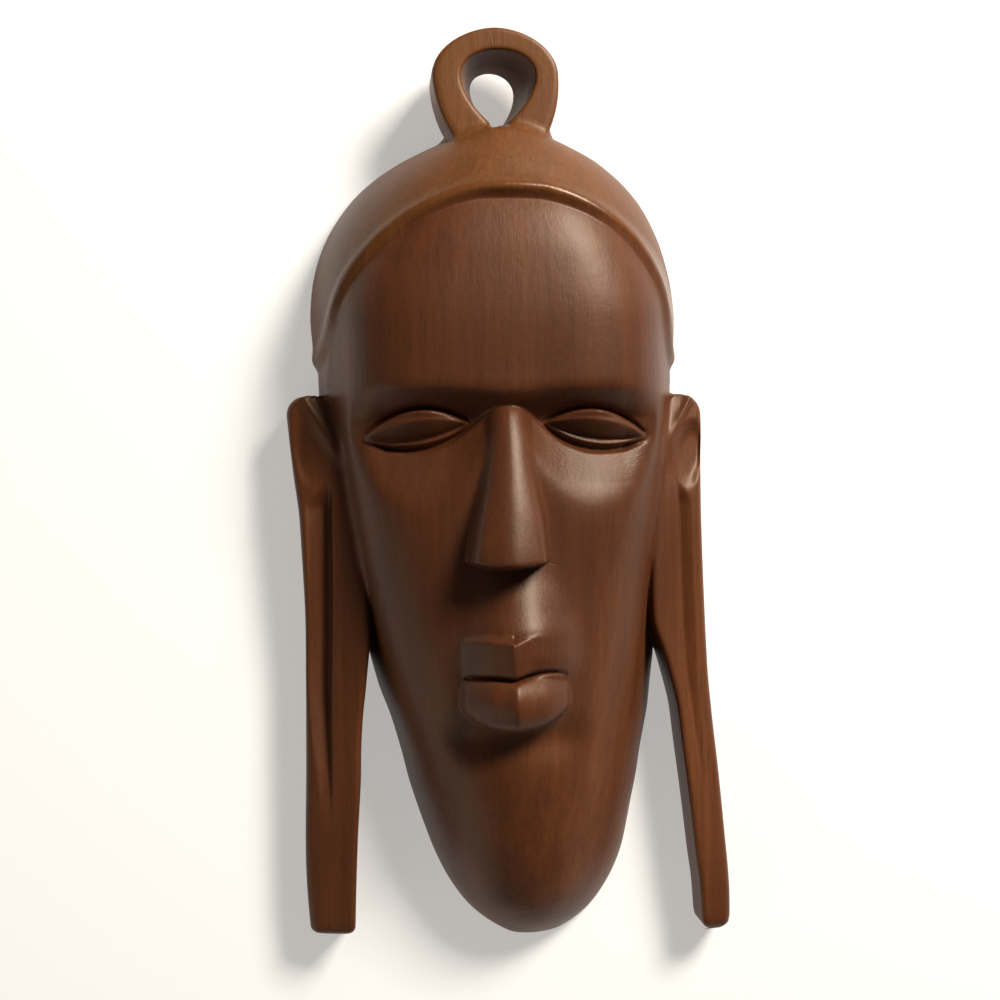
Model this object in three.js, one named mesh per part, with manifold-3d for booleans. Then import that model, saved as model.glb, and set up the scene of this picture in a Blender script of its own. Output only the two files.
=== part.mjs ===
// A carved hardwood wall mask, in millimetres. It lies on its flat back: +Z comes out of the face,
// +Y runs from the chin to the hanging loop and +X is the viewer's right. The whole mask is one
// piece of wood, so it is one closed solid: a long head with a cap, two ears whose stretched lobes
// hang free beside the chin, and a teardrop loop on the crown. The back is hollowed.
import * as THREE from 'three';
import { mergeVertices } from 'three/addons/utils/BufferGeometryUtils.js';
import Module from 'manifold-3d';

const { clamp, degToRad, lerp, smoothstep } = THREE.MathUtils;

// Heights along the mask, from the chin to the loop, with 0 just below the eyes
const CHIN = -171;
const MOUTH = -65.8;
const NOSE_BASE = -24.3;
const EYE = 25.8;
const BROW = 39.5;
const CAP_EDGE = 114.6;
const CROWN = 141;

// The head's outline and profile, as [height along the mask, size]
const HALF_WIDTH = [
  [CHIN, 5.5], [-170.3, 9.6], [-168.3, 13.8], [-165.1, 18.8], [-161.7, 22.9], [-156.8, 27.3], [-147.2, 33.4],
  [-137.6, 37.6], [-128, 40.5], [-118.5, 43.1], [-109, 45.6], [-99.5, 47.5], [-90, 49.8],
  [-71, 54.5], [-30, 62], [5, 67], [44, 70.3], [60, 70.5], [71, 71.1], [83, 70.2], [91, 68.6],
  [99, 66.2], [106.6, 62.8], [114.5, 58.1], [122.3, 51.5], [130.2, 41.4], [134.2, 33.6],
  [138.2, 23.6], [139.8, 19], [CROWN, 13],
];
const DEPTH = [
  [CHIN, 4.5], [-170.3, 7.4], [-168.5, 12], [-165, 17.8], [-161, 22.5], [-155, 27.8], [-140, 36],
  [-120, 43.5], [-95, 49.5], [-60, 53.5], [-25, 55], [0, 57], [BROW, 60], [66, 61.2], [90, 59.3],
  [104, 56.3], [CAP_EDGE, 52.2], [128, 45.4], [135, 41], [138.5, 38.6], [140, 37], [CROWN, 34],
];
const SQUARENESS = [
  [CHIN, 2.2], [-100, 2.5], [-40, 3.4], [0, 4.4], [BROW, 5.4], [66, 5], [95, 3.7], [CROWN, 2.6],
];
const SIDE_SLOPE = 0.2;
const FRONT_BOW = 4.5;
const BOW_HALF_WIDTH = 60;

// The middle line leans to the viewer's right in the lower half, less on the front than at the back
const BACK_MIDDLE = [
  [CHIN, 12.5], [-160, 12.1], [-142, 11.5], [-119, 9.9], [-100, 9], [-85, 8.3], [-71, 6.6], [-40, 4.6],
  [0, 1.8], [44, 0.3], [60, -0.1], [90, -0.6], [103, -0.2], [115, 0.5], [127, 1.1], [134, 2.2],
  [CROWN, 2.5],
];
const FRONT_MIDDLE = [
  [CHIN, 10.8], [-140, 8], [-110, 4.6], [-84, 2], [-66, 1.7], [-52, 1], [NOSE_BASE, 0], [0, 0.6],
  [33, 0.7], [60, 0], [CAP_EDGE, 0.5], [CROWN, 2],
];
const LOBE_MIDDLE = -0.8;
const LOBE_LEAN = 0.044;
const LEAN_FROM = 40;
const LEAN_SOFTNESS = 20;

// The carving lies on the front only: it starts where the side has turned this far to the front
const FRONT_FROM = 0.35;
const FRONT_TO = 0.7;

// The cap stands proud of the forehead; its edge drops from the middle to the temples, given over the
// turn from 0 in the middle of the front to 1 at the back
const CAP_FRONT = 3.8;
const CAP_SIDE = 1.6;
const CAP_DROP = [
  [0, 0], [0.15, 0.3], [0.25, 1.8], [0.35, 4.6], [0.45, 9.4], [0.54, 16.5], [0.61, 24.5], [0.67, 33],
  [0.71, 40], [0.75, 47], [0.8, 52.5], [0.9, 58], [1, 60.6],
];
const CAP_PEAK_TURN = 0.03;
const CAP_STEP = 3.5;
const CAP_FOOT_SOFTNESS = 0.06;
const CAP_TOP_SOFTNESS = 0.25;
const CAP_BEAD = 1.3;
const CAP_BEAD_AT = 1.6;
const CAP_BEAD_WIDTH = 2.6;
const CAP_ROWS_FROM = 46;
const TURN_STEP = 0.01;

// The eye sockets: a recess under a straight brow, a step up along the lower lid, then a facet that
// rises to an arched ridge on the cheek
const SOCKET_HALF_WIDTH = 58;
const SOCKET_END_POWER = 8;
const BROW_EDGE = 41.3;
const BROW_DIP = 1.8;
const BROW_DIP_WIDTH = 14;
const BROW_UNDERSIDE = 10.5;
const BROW_TOP_SOFTNESS = 0.16;
const BROW_FOOT_SOFTNESS = 0.1;
const BROW_START = 1;
const BROW_FADE = 6;
const FACET_DEPTH = 10;
const FACET_SHORTEST = 6;
const FACET_SOFTNESS = 0.28;
const LEDGE_SOFTNESS = 0.03;
const LEDGE_STEP = 2.2;
const LEDGE_WIDTH = 1.4;
const LEDGE_FADE = [44, 54];
const LEDGE = [[4, 33], [8, 31.2], [14, 26], [23, 19.7], [33, 17], [43.5, 17.6], [51, 21.4], [56, 25]];
const CHEEK_RIDGE = -1.5;
const CHEEK_ARCH_INNER = 15;
const CHEEK_ARCH_OUTER = 12.5;
const CHEEK_ARCH_HALF = 22;
const CHEEK_ARCH_END = 1.3;

// The downcast eye: a lens between two arcs with a high crest, a crease above and a groove below
const EYE_X = 33.6;
const EYE_HALF_LENGTH = 20.2;
const EYE_UPPER = 7.2;
const EYE_LOWER = 4.9;
const EYE_CREST = 0.76;
const EYE_BULGE = 6.6;
const EYE_TOP_FALL = 0.3;
const EYE_TILT = degToRad(7);
const EYE_ROUNDNESS = 0.8;
const EYE_LOWER_CURVE = 1.2;
const EYE_TOP_CURVE = 1.6;
const LID_WIDTH = 1.2;
const LID_FADE = 0.35;
const LID_CREASE = { size: 1.3, off: 1.4, width: 1.7 };
const LID_GROOVE = { size: 1.7, off: -2, width: 1.5 };

// The nose: a wedge with a rounded ridge that broadens into a flat front, steep flanks and a flat cut below
const NOSE_RIDGE = [
  [-40, 76], [NOSE_BASE, 74.5], [-8, 71.3], [15, 64.3], [29, 59.3], [34, 56], [37, 50], [41, 42],
];
const NOSE_FRONT = [[NOSE_BASE, 12.9], [-8, 11.3], [5, 8.8], [20, 7], [33, 5.2], [41, 5]];
const NOSE_FLANK = [[NOSE_BASE, 4.8], [-8, 3.8], [5, 2.8], [20, 2], [33, 1.5]];
const NOSE_FRONT_FALL = 0.5;
const NOSE_ROUND = 5.5;
const NOSE_EDGE = 0.6;
const NOSE_EDGE_SOFTENING = 0.04;
const NOSE_SAG = 2;
const NOSE_HALF_WIDTH = 15;
const CUT_STEEPNESS = 7;
const CUT_SOFTNESS = 0.5;

// The mouth: two blocks with an upright ridge in the middle, on a mound; pairs are [left, right]
const MOUND_RIDGE = [
  [-134, -20], [-120, 20], [-100, 42], [-90, 50], [-70, 59.5], [-56, 65.8], [-50, 66], [-40, 62.3],
  [-30, 58.2], [-20, 54], [-5, 46],
];
const MOUND_X = 3;
const MOUND_BOW = 0.03;
const MOUND_SOFTNESS = 4;
const LIP_HALF_WIDTH = [18.2, 19.8];
const LIP_RIDGE_FALL = 0.5;
const LIP_RIDGE_ROUND = 0.8;
const LIP_SHOULDER = [9.5, 12.5];
const LIP_SHOULDER_FALL = 0.5;
const LIP_SHOULDER_SOFTNESS = 1.6;
const LIP_END = 2.6;
const UPPER_LIP_TOP = [-51.4, -49.1];
const UPPER_LIP_DIP = [1, 3.3];
const UPPER_LIP_PEAK_X = 9;
const UPPER_LIP_CORNER_DROP = [0.8, 8.5];
const UPPER_LIP_CORNER_CURVE = 2.4;
const UPPER_LIP_DIP_CURVE = 1.3;
const UPPER_LIP_BEVEL = [1.3, 2.6];
const UPPER_LIP_FRONT = 69.8;
const UPPER_LIP_FALL = 3;
const LOWER_LIP_FRONT = 69.8;
const LOWER_LIP_CROWN = -73.6;
const LOWER_LIP_CURVE = 0.05;
const LOWER_LIP_BOTTOM = -84;
const LOWER_LIP_RISE = 7;
const LOWER_LIP_RISE_CURVE = 2.4;
const LOWER_LIP_RISE_END = 1.6;
const LIP_MEETING_STEEPNESS = 4;
const LOWER_LIP_STEEPNESS = 5;
const MOUTH_RISE = [0.8, 2.8];
const MOUTH_WAVE = 2.6;
const UNDER_LIP = -88.5;
const UNDER_LIP_DEPTH = 3.2;
const UNDER_LIP_HALF_HEIGHT = 8;
const UNDER_LIP_ENDS = [16, 34];
const MOUTH_GROOVE = 2.8;
const MOUTH_GROOVE_WIDTH = 1.1;
const CARVED_EDGE = 1;

// The hollow in the back
const WALL = 14.5;
const HOLLOW_TOP = 118;
const HOLLOW_BOTTOM = -138;
const HOLLOW_DEPTH = 0.74;
const HOLLOW_SQUARENESS = 2.6;
const HOLLOW_END_ROUNDNESS = 2.4;
const HOLLOW_END_SHARE = 0.07;
const HOLLOW_REACH = 0.994;

// The solids are joined a little too thick and the back is then cut off flat
const BACK_CUT = 4;
const SLAB = 400;

// The ears and their lobes, as [height along the mask, distance from the middle]
const EAR_TOP = 40.6;
const EAR_CORNER = 8;
const LEFT = {
  side: -1,
  end: -166.7,
  rounding: 3.6,
  outer: [
    [-170, 82.6], [-146, 83.3], [-100, 81], [-69, 79.4], [-38, 78.2], [-8, 78.4], [12, 80], [EAR_TOP, 82],
  ],
  inner: [
    [-170, 65.9], [-153, 64.7], [-129, 62.7], [-106, 60.3], [-94, 59.5], [-82, 58.2], [-70.5, 56.4],
    [-45, 53.5], [-10, 56], [EAR_TOP, 58],
  ],
  wall: [[-136, 72.3], [-114, 71.4], [-76, 69.7], [-38, 67.3], [0, 65.6], [9, 65.2]],
  grooveWidth: 10,
  grooveDepth: 4.6,
  grooveCurve: 2,
  tilt: 0.24,
  bowlDepth: 1.2,
};
const RIGHT = {
  side: 1,
  end: -169.3,
  rounding: 5,
  outer: [
    [-170, 80.8], [-153, 81.4], [-129, 80.4], [-106, 79.2], [-82, 77.6], [-65, 76.9], [-32, 76.8],
    [-9, 77], [3, 77.4], [15, 78.1], [26, 79], [EAR_TOP, 79.5],
  ],
  inner: [
    [-170, 69.4], [-153, 69.1], [-141, 68.1], [-117.5, 66.5], [-94, 64.6], [-82, 63.7], [-70.5, 61.5],
    [-62, 59.5], [-45, 55], [-10, 56], [EAR_TOP, 58],
  ],
  wall: [[-122, 72.6], [-102, 70.5], [-78, 68.2], [-55, 66.9], [-16, 67.2], [0, 67.4], [9, 66.5]],
  grooveWidth: 5.5,
  grooveDepth: 3.7,
  grooveCurve: 1,
  tilt: 0.3,
  bowlDepth: 3.6,
};
const EAR_THICKNESS = [[-170, 21], [-140, 22.5], [-60, 23.5], [0, 26.4], [20, 25.2], [EAR_TOP, 23.4]];
const LOBE_ROUNDING = 2.4;
const LOBE_TILT_FROM = 66;
const BEVEL_SHARE = 0.3;
const GROOVE_START = 4;
const GROOVE_START_RUN = [-7, 5];
const GROOVE_SLOPE = 1.1;
const GROOVE_FADE = 75;
const GROOVE_NARROWEST = 0.35;
const BOWL_X = 72.8;
const BOWL_Y = 16.5;
const BOWL_HALF_WIDTH = 7.8;
const BOWL_HALF_HEIGHT = 15;
const BOWL_SLANT = 0.24;
const BOWL_DEPTH_ACROSS = 0.4;
const BOWL_EDGE = 0.8;
const FOLD_TOP = [75, 39.5];
const FOLD_FOOT = [61, 16.5];
const FOLD_FOOT_RUN = [-6, 4];
const FOLD_HALF_WIDTH = 2.2;
const FOLD_HEIGHT = 1.5;
const EAR_FILLET = 1.6;
const EAR_FILLET_FROM = 63;
const EAR_FILLET_WIDTH = 8.5;
const EAR_POCKET = 2.2;
const EAR_POCKET_WIDTH = 9;

// The hanging loop: an egg-shaped outline with a teardrop hole that narrows to the back
const LOOP_X = -1.3;
const LOOP_WIDEST = 160.4;
const LOOP_HALF_WIDTH = 24.1;
const LOOP_RISE = 18.3;
const LOOP_FALL = 34;
const LOOP_SHARPNESS = 1.1;
const LOOP_BACK = 12;
const LOOP_FRONT = 36.6;
const LOOP_LEAN = 0.06;
const HOLE_FRONT = { x: -0.2, middle: 154.9, halfWidth: 14, halfHeight: 15.2, slant: 0 };
const HOLE_BACK = { x: -0.9, middle: 154, halfWidth: 8.4, halfHeight: 11.8, slant: 0.11 };
const HOLE_FLARE = [0.05, 0.87];
const TEARDROP_WIDEST = 0.7698;

// The loop's section, up the outside, over the front and down the hole, as the share of the way in to
// the hole and the share of the height; the flare narrows from the front of the hole to its back
const LOOP_SECTION = [
  [0.1, 0], [0, 0.09], [0, 0.82], [0.04, 0.98], [0.25, 1], [0.82, 1], [0.965, 0.975], [1, 0.88],
  [1, 0.5], [1, 0.1], [0.9, 0],
];

// Corners nearer than this are one corner
const MERGE_DISTANCE = 1e-4;

// How finely the surface is divided, as [from, to, steps]
const HEAD_ROWS = [
  [CHIN, -168, 3], [-168, -160, 2], [-160, -130, 2], [-130, -90, 4], [-90, -81, 4], [-81, -69, 3],
  [-69, -62, 4], [-62, -54, 2], [-54, -46, 4], [-46, -27, 3], [-27, -22, 4], [-22, 12, 5], [12, 38, 16],
  [38, 46, 4], [46, CAP_EDGE - 8, 4], [CAP_EDGE - 8, CAP_EDGE + 4, 7], [CAP_EDGE + 4, CROWN, 7],
];
const HEAD_COLUMNS = [[0, 22, 8], [22, 58, 10], [58, 90, 4]];
const EAR_ROWS = [[0, 0.02, 3], [0.02, 0.75, 6], [0.75, 0.95, 12], [0.95, 1, 4]];
const COLUMNS_INSIDE_WALL = 4;
const COLUMNS_OUTSIDE_WALL = 6;
const HOLLOW_ROWS = 14;
const HOLLOW_COLUMNS = 16;
const LOOP_STEPS = 30;

// Corners closer together than this are drawn into one, which removes the slivers along the joints
const CLOSEST = 0.35;

// A smooth curve through the listed points, level at a high or low point and beyond the ends
function curve(points) {
  const rise = (a, b) => (b[1] - a[1]) / (b[0] - a[0]);
  const slope = points.map((p, i) => {
    if (i === 0 || i === points.length - 1) return 0;
    const before = rise(points[i - 1], p);
    const after = rise(p, points[i + 1]);
    return before * after > 0 ? (2 * before * after) / (before + after) : 0;
  });
  slope[0] = rise(points[0], points[1]);
  slope[points.length - 1] = rise(points.at(-2), points.at(-1));
  return (at) => {
    const y = clamp(at, points[0][0], points.at(-1)[0]);
    const i = clamp(points.findIndex((p) => p[0] >= y) - 1, 0, points.length - 2);
    const step = points[i + 1][0] - points[i][0];
    const t = (y - points[i][0]) / step;
    const ends = (1 + 2 * t) * (1 - t) ** 2 * points[i][1] + t * t * (3 - 2 * t) * points[i + 1][1];
    return ends + t * (1 - t) * step * ((1 - t) * slope[i] - t * slope[i + 1]);
  };
}

// Evenly spaced values over each [from, to, steps] stretch, without repeating the joints
function stretches(list) {
  const values = [list[0][0]];
  for (const [from, to, steps] of list)
    for (let i = 1; i <= steps; i++) values.push(lerp(from, to, i / steps));
  return values;
}

// The larger of two heights, and a ramp that starts at 0, each rounded over a width
const softMax = (a, b, width) => (a + b + Math.hypot(a - b, width)) / 2;
const softRamp = (t, width) => (t + Math.hypot(t, width)) / 2;
const hump = (t) => Math.exp(-t * t);
const roundedFall = (x, radius) => Math.hypot(x, radius) - radius;

// The value of a [left, right] pair on a side, where side is -1 or 1
const ofSide = (pair, side) => pair[side < 0 ? 0 : 1];

const halfWidth = curve(HALF_WIDTH);
const depth = curve(DEPTH);
const squareness = curve(SQUARENESS);
const backMiddle = curve(BACK_MIDDLE);
const frontMiddle = curve(FRONT_MIDDLE);
const capDrop = curve(CAP_DROP);
const ledge = curve(LEDGE);
const noseRidge = curve(NOSE_RIDGE);
const noseFront = curve(NOSE_FRONT);
const noseFlank = curve(NOSE_FLANK);
const moundRidge = curve(MOUND_RIDGE);
const earThickness = curve(EAR_THICKNESS);

const headMiddle = (y, z) => lerp(backMiddle(y), frontMiddle(y), smoothstep(z / depth(y), 0, 1));
const lobeMiddle = (y) => LOBE_MIDDLE + LOBE_LEAN * softRamp(LEAN_FROM - y, LEAN_SOFTNESS);

// How far the face lies back in the socket, at a distance s from the middle
function socket(s, y) {
  const fall = (BROW_EDGE - BROW_DIP * hump(s / BROW_DIP_WIDTH) - y) / BROW_UNDERSIDE;
  const under = softRamp(fall, BROW_TOP_SOFTNESS) - softRamp(fall - 1, BROW_FOOT_SOFTNESS);
  const arch = s < EYE_X ? CHEEK_ARCH_INNER : CHEEK_ARCH_OUTER;
  const ridge = CHEEK_RIDGE + arch * Math.min(CHEEK_ARCH_END, Math.abs(s - EYE_X) / CHEEK_ARCH_HALF) ** 2;
  const edge = ledge(s);
  const up = (y - ridge) / Math.max(FACET_SHORTEST, edge - ridge);
  const facet = softRamp(up, FACET_SOFTNESS) - softRamp(up - 1, LEDGE_SOFTNESS);
  const step = LEDGE_STEP * smoothstep(y, edge, edge + LEDGE_WIDTH) * (1 - smoothstep(s, ...LEDGE_FADE));
  const across = 1 - Math.min(1, s / SOCKET_HALF_WIDTH) ** SOCKET_END_POWER;
  return across * under * (FACET_DEPTH * facet + step);
}

function eye(s, y) {
  const u = (s - EYE_X) * Math.cos(EYE_TILT) - (y - EYE) * Math.sin(EYE_TILT);
  const v = (s - EYE_X) * Math.sin(EYE_TILT) + (y - EYE) * Math.cos(EYE_TILT);
  const along = 1 - (u / EYE_HALF_LENGTH) ** 2;
  if (along <= 0) return 0;
  const [upper, lower] = [EYE_UPPER * along, EYE_LOWER * along];
  const share = (v + lower) / (upper + lower);
  const below = clamp(1 - share / EYE_CREST, 0, 1);
  const above = clamp((share - EYE_CREST) / (1 - EYE_CREST), 0, 1);
  const profile = (1 - below ** EYE_LOWER_CURVE) * (1 - EYE_TOP_FALL * above ** EYE_TOP_CURVE);
  const inside = 1 - smoothstep(v, upper - LID_WIDTH, upper + LID_WIDTH);
  const lens = EYE_BULGE * along ** EYE_ROUNDNESS * profile * inside;
  const fade = along ** LID_FADE;
  const line = ({ size, off, width }, distance) => size * fade * hump((distance - off * fade) / width);
  return lens - line(LID_CREASE, v - upper) - line(LID_GROOVE, v + lower);
}

function nose(s, y) {
  const edge = NOSE_EDGE + NOSE_EDGE_SOFTENING * Math.max(0, y - NOSE_BASE);
  const side = noseFlank(y) * softRamp(s - noseFront(y), edge);
  const cut = NOSE_BASE + NOSE_SAG * (s / NOSE_HALF_WIDTH) ** 2;
  const under = CUT_STEEPNESS * softRamp(cut - y, CUT_SOFTNESS);
  return noseRidge(y) - NOSE_FRONT_FALL * roundedFall(s, NOSE_ROUND) - side - under;
}

const mound = (x, y) => moundRidge(y) - MOUND_BOW * (x - MOUND_X) ** 2;

const mouthLine = (s, side) =>
  MOUTH + ofSide(MOUTH_RISE, side) * Math.sin(MOUTH_WAVE * Math.min(1, s / ofSide(LIP_HALF_WIDTH, side)));

// Both lips fall from an upright ridge to a shoulder, then faster, and end on steep planes
function lipSide(s, side) {
  const front = LIP_RIDGE_FALL * roundedFall(s, LIP_RIDGE_ROUND);
  const shoulder = LIP_SHOULDER_FALL * softRamp(s - ofSide(LIP_SHOULDER, side), LIP_SHOULDER_SOFTNESS);
  return front + shoulder + LIP_END * softRamp(s - ofSide(LIP_HALF_WIDTH, side), CARVED_EDGE);
}

function upperLip(s, y, side) {
  const top = ofSide(UPPER_LIP_TOP, side);
  const dip = ofSide(UPPER_LIP_DIP, side) * (1 - Math.min(1, s / UPPER_LIP_PEAK_X)) ** UPPER_LIP_DIP_CURVE;
  const reach = ofSide(LIP_HALF_WIDTH, side) + 1 - UPPER_LIP_PEAK_X;
  const outer = Math.max(0, s - UPPER_LIP_PEAK_X) / reach;
  const edge = top - dip - ofSide(UPPER_LIP_CORNER_DROP, side) * outer ** UPPER_LIP_CORNER_CURVE;
  const front = UPPER_LIP_FRONT - UPPER_LIP_FALL * clamp((top - y) / (top - MOUTH), 0, 1);
  const bevel = ofSide(UPPER_LIP_BEVEL, side) * softRamp(y - edge, CARVED_EDGE);
  const under = LIP_MEETING_STEEPNESS * softRamp(mouthLine(s, side) - y, CARVED_EDGE);
  return front - lipSide(s, side) - bevel - under;
}

function lowerLip(s, y, side) {
  const rise = Math.min(LOWER_LIP_RISE_END, (s / LIP_HALF_WIDTH[1]) ** LOWER_LIP_RISE_CURVE);
  const edge = LOWER_LIP_BOTTOM + LOWER_LIP_RISE * rise;
  const front = LOWER_LIP_FRONT - LOWER_LIP_CURVE * (y - LOWER_LIP_CROWN) ** 2;
  const under = LOWER_LIP_STEEPNESS * softRamp(edge - y, CARVED_EDGE);
  const above = LIP_MEETING_STEEPNESS * softRamp(y - mouthLine(s, side), CARVED_EDGE);
  return front - lipSide(s, side) - under - above;
}

// The front surface with everything carved on it
function carvedFront(s, y, side, plain) {
  let z = plain - socket(s, y) + (y < BROW ? eye(s, y) : 0);
  z = softMax(z, mound(side * s, y), MOUND_SOFTNESS);
  const underLip = 1 - smoothstep(s, UNDER_LIP_ENDS[0], UNDER_LIP_ENDS[1]);
  z -= UNDER_LIP_DEPTH * hump((y - UNDER_LIP) / UNDER_LIP_HALF_HEIGHT) * underLip;
  z = softMax(z, nose(s, y), CARVED_EDGE);
  z = softMax(z, Math.max(upperLip(s, y, side), lowerLip(s, y, side)), CARVED_EDGE);
  const inMouth = Math.sqrt(Math.max(0, 1 - (s / ofSide(LIP_HALF_WIDTH, side)) ** 2));
  return z - MOUTH_GROOVE * inMouth * hump((y - mouthLine(s, side)) / MOUTH_GROOVE_WIDTH);
}

// The height of the cap's edge, where turn is 0 in the middle of the front and 1 or -1 at the back
const capEdge = (turn) => CAP_EDGE - capDrop(Math.abs(turn - CAP_PEAK_TURN * (1 - turn * turn)));

// A row of the surface follows the cap's edge there and straightens out to the brow and the crown
function rowHeight(row, turn) {
  const drop = capEdge(turn) - CAP_EDGE;
  if (row <= CAP_EDGE) return row + drop * clamp((row - CAP_ROWS_FROM) / (CAP_EDGE - CAP_ROWS_FROM), 0, 1);
  return row + drop * (1 - (row - CAP_EDGE) / (CROWN - CAP_EDGE));
}

// A section across the head is a squared ellipse over the back plane
function section(y, turn) {
  const angle = Math.abs(turn) * Math.PI / 2;
  const [sine, cosine] = [Math.sin(angle), Math.max(0, Math.cos(angle))];
  const n = squareness(y);
  const radius = ((sine / halfWidth(y)) ** n + (cosine / depth(y)) ** n) ** (-1 / n);
  return { radius, sine, cosine };
}

// How steeply the cap's edge climbs along the section
function edgeClimb(y, turn) {
  const turns = [clamp(turn - TURN_STEP, -1, 1), clamp(turn + TURN_STEP, -1, 1)];
  const [before, after] = turns.map((t) => {
    const { radius, sine, cosine } = section(y, t);
    return new THREE.Vector2(Math.sign(t) * radius * sine, radius * cosine);
  });
  return (capEdge(turns[1]) - capEdge(turns[0])) / before.distanceTo(after);
}

// How far the cap stands out, over the distance from its edge square to it
function capHeight(y, turn) {
  const over = (y - capEdge(turn)) / Math.hypot(1, edgeClimb(y, turn));
  const share = softRamp((over + CAP_STEP) / CAP_STEP, CAP_FOOT_SOFTNESS);
  const rise = Math.max(0, 1 - softRamp(1 - share, CAP_TOP_SOFTNESS));
  const bead = CAP_BEAD * hump((over - CAP_BEAD_AT) / CAP_BEAD_WIDTH);
  return lerp(CAP_FRONT, CAP_SIDE, Math.abs(turn)) * (rise + bead / CAP_FRONT);
}

// A point of the outer surface, narrowed towards the front
function headPoint(row, turn) {
  const y = rowHeight(row, turn);
  const { radius, sine, cosine } = section(y, turn);
  const d = depth(y);
  const reach = radius + capHeight(y, turn);
  const up = Math.abs(turn) === 1 ? -BACK_CUT : reach * cosine;
  const s = reach * sine * (1 - SIDE_SLOPE * up / d);
  const plain = up * (1 - FRONT_BOW / d * (s / BOW_HALF_WIDTH) ** 2);
  const below = 1 - smoothstep(y, BROW_EDGE + BROW_START, BROW_EDGE + BROW_FADE);
  const front = smoothstep(up / d, FRONT_FROM, FRONT_TO) * below;
  const z = lerp(plain, carvedFront(s, y, Math.sign(turn), plain), front);
  return new THREE.Vector3(Math.sign(turn) * s + headMiddle(y, z), y, z);
}

// A closed solid through rings of points, each ring a closed line, with a fan over both ends
function loft(rings) {
  const n = rings[0].length;
  const points = rings.flat();
  const index = [];
  for (let r = 0; r < rings.length - 1; r++)
    for (let i = 0; i < n; i++) {
      const j = (i + 1) % n;
      const [a, b, c, d] = [r * n + i, r * n + j, (r + 1) * n + j, (r + 1) * n + i];
      index.push(a, b, c, a, c, d);
    }
  const ends = [[rings[0], 0, 1], [rings.at(-1), (rings.length - 1) * n, -1]];
  for (const [ring, start, side] of ends) {
    const middle = ring.reduce((sum, p) => sum.add(p), new THREE.Vector3()).divideScalar(n);
    points.push(middle);
    for (let i = 0; i < n; i++) {
      const pair = [start + (i + 1) % n, start + i];
      index.push(points.length - 1, ...(side > 0 ? pair : pair.reverse()));
    }
  }
  const geometry = new THREE.BufferGeometry().setFromPoints(points);
  geometry.setIndex(index);
  return geometry;
}

function head() {
  const columns = stretches(HEAD_COLUMNS);
  const turns = [...columns.slice(1).reverse().map((v) => -v / 90), ...columns.map((v) => v / 90)];
  return loft(stretches(HEAD_ROWS).map((row) => turns.map((turn) => headPoint(row, turn))));
}

// The hollow follows the outside at the thickness of the wall and closes in round ends
function hollow() {
  const rings = [];
  const widest = Math.cos(HOLLOW_END_SHARE * Math.PI);
  for (let r = 0; r <= HOLLOW_ROWS; r++) {
    const share = lerp(HOLLOW_END_SHARE, 1 - HOLLOW_END_SHARE, r / HOLLOW_ROWS);
    const along = -Math.cos(share * Math.PI) / widest * HOLLOW_REACH;
    const y = lerp(HOLLOW_BOTTOM, HOLLOW_TOP, (along + 1) / 2);
    const closing = (1 - Math.abs(along) ** 3) ** (1 / HOLLOW_END_ROUNDNESS);
    const w = (halfWidth(y) - WALL) * closing;
    const d = depth(y) * HOLLOW_DEPTH * closing;
    const n = HOLLOW_SQUARENESS;
    const ring = [];
    for (let i = 0; i <= HOLLOW_COLUMNS; i++) {
      const angle = i / HOLLOW_COLUMNS * Math.PI;
      const radius = (Math.abs(Math.cos(angle) / w) ** n + (Math.sin(angle) / d) ** n) ** (-1 / n);
      const x = radius * Math.cos(angle);
      const z = i % HOLLOW_COLUMNS === 0 ? -2 * BACK_CUT : radius * Math.sin(angle);
      ring.push(new THREE.Vector3(x * (1 - SIDE_SLOPE * z / d) + headMiddle(y, z), y, z));
    }
    rings.push(ring.reverse());
  }
  return loft(rings);
}

// The carving of the ear and the groove down its lobe, at a distance s from the middle
function earRelief(s, y, shape, across) {
  const down = clamp((FOLD_TOP[1] - y) / (FOLD_TOP[1] - FOLD_FOOT[1]), 0, 1);
  const fold = s - lerp(FOLD_TOP[0], FOLD_FOOT[0], down);
  const inEar = smoothstep(y, FOLD_FOOT[1] + FOLD_FOOT_RUN[0], FOLD_FOOT[1] + FOLD_FOOT_RUN[1]);
  const ridge = FOLD_HEIGHT * hump(fold / FOLD_HALF_WIDTH) * inEar;
  const pocket = EAR_POCKET * smoothstep(-fold, 0, EAR_POCKET_WIDTH) * inEar;
  const bx = (s - BOWL_X - BOWL_SLANT * (y - BOWL_Y)) / BOWL_HALF_WIDTH;
  const by = (y - BOWL_Y) / BOWL_HALF_HEIGHT;
  const falling = 1 - (0.5 - 0.5 * clamp(by, -1, 1)) ** 2 + BOWL_DEPTH_ACROSS * clamp(bx, -1, 1);
  const bowl = shape.bowlDepth * Math.max(0, falling) * smoothstep(1 - bx * bx - by * by, 0, BOWL_EDGE);
  const past = smoothstep(s, EAR_FILLET_FROM, EAR_FILLET_FROM + EAR_FILLET_WIDTH);
  const fillet = EAR_FILLET * (1 - past) * inEar;
  const end = shape.wall[0][0];
  const start = 1 - smoothstep(y, GROOVE_START + GROOVE_START_RUN[0], GROOVE_START + GROOVE_START_RUN[1]);
  const run = smoothstep(y, end, end + GROOVE_FADE) * start;
  const width = shape.grooveWidth * lerp(GROOVE_NARROWEST, 1, run);
  const trough = (1 - clamp(across / width, 0, 1) ** shape.grooveCurve) * clamp(across / GROOVE_SLOPE, 0, 1);
  const groove = shape.grooveDepth * run * trough;
  return ridge + fillet - pocket - bowl - groove;
}

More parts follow.
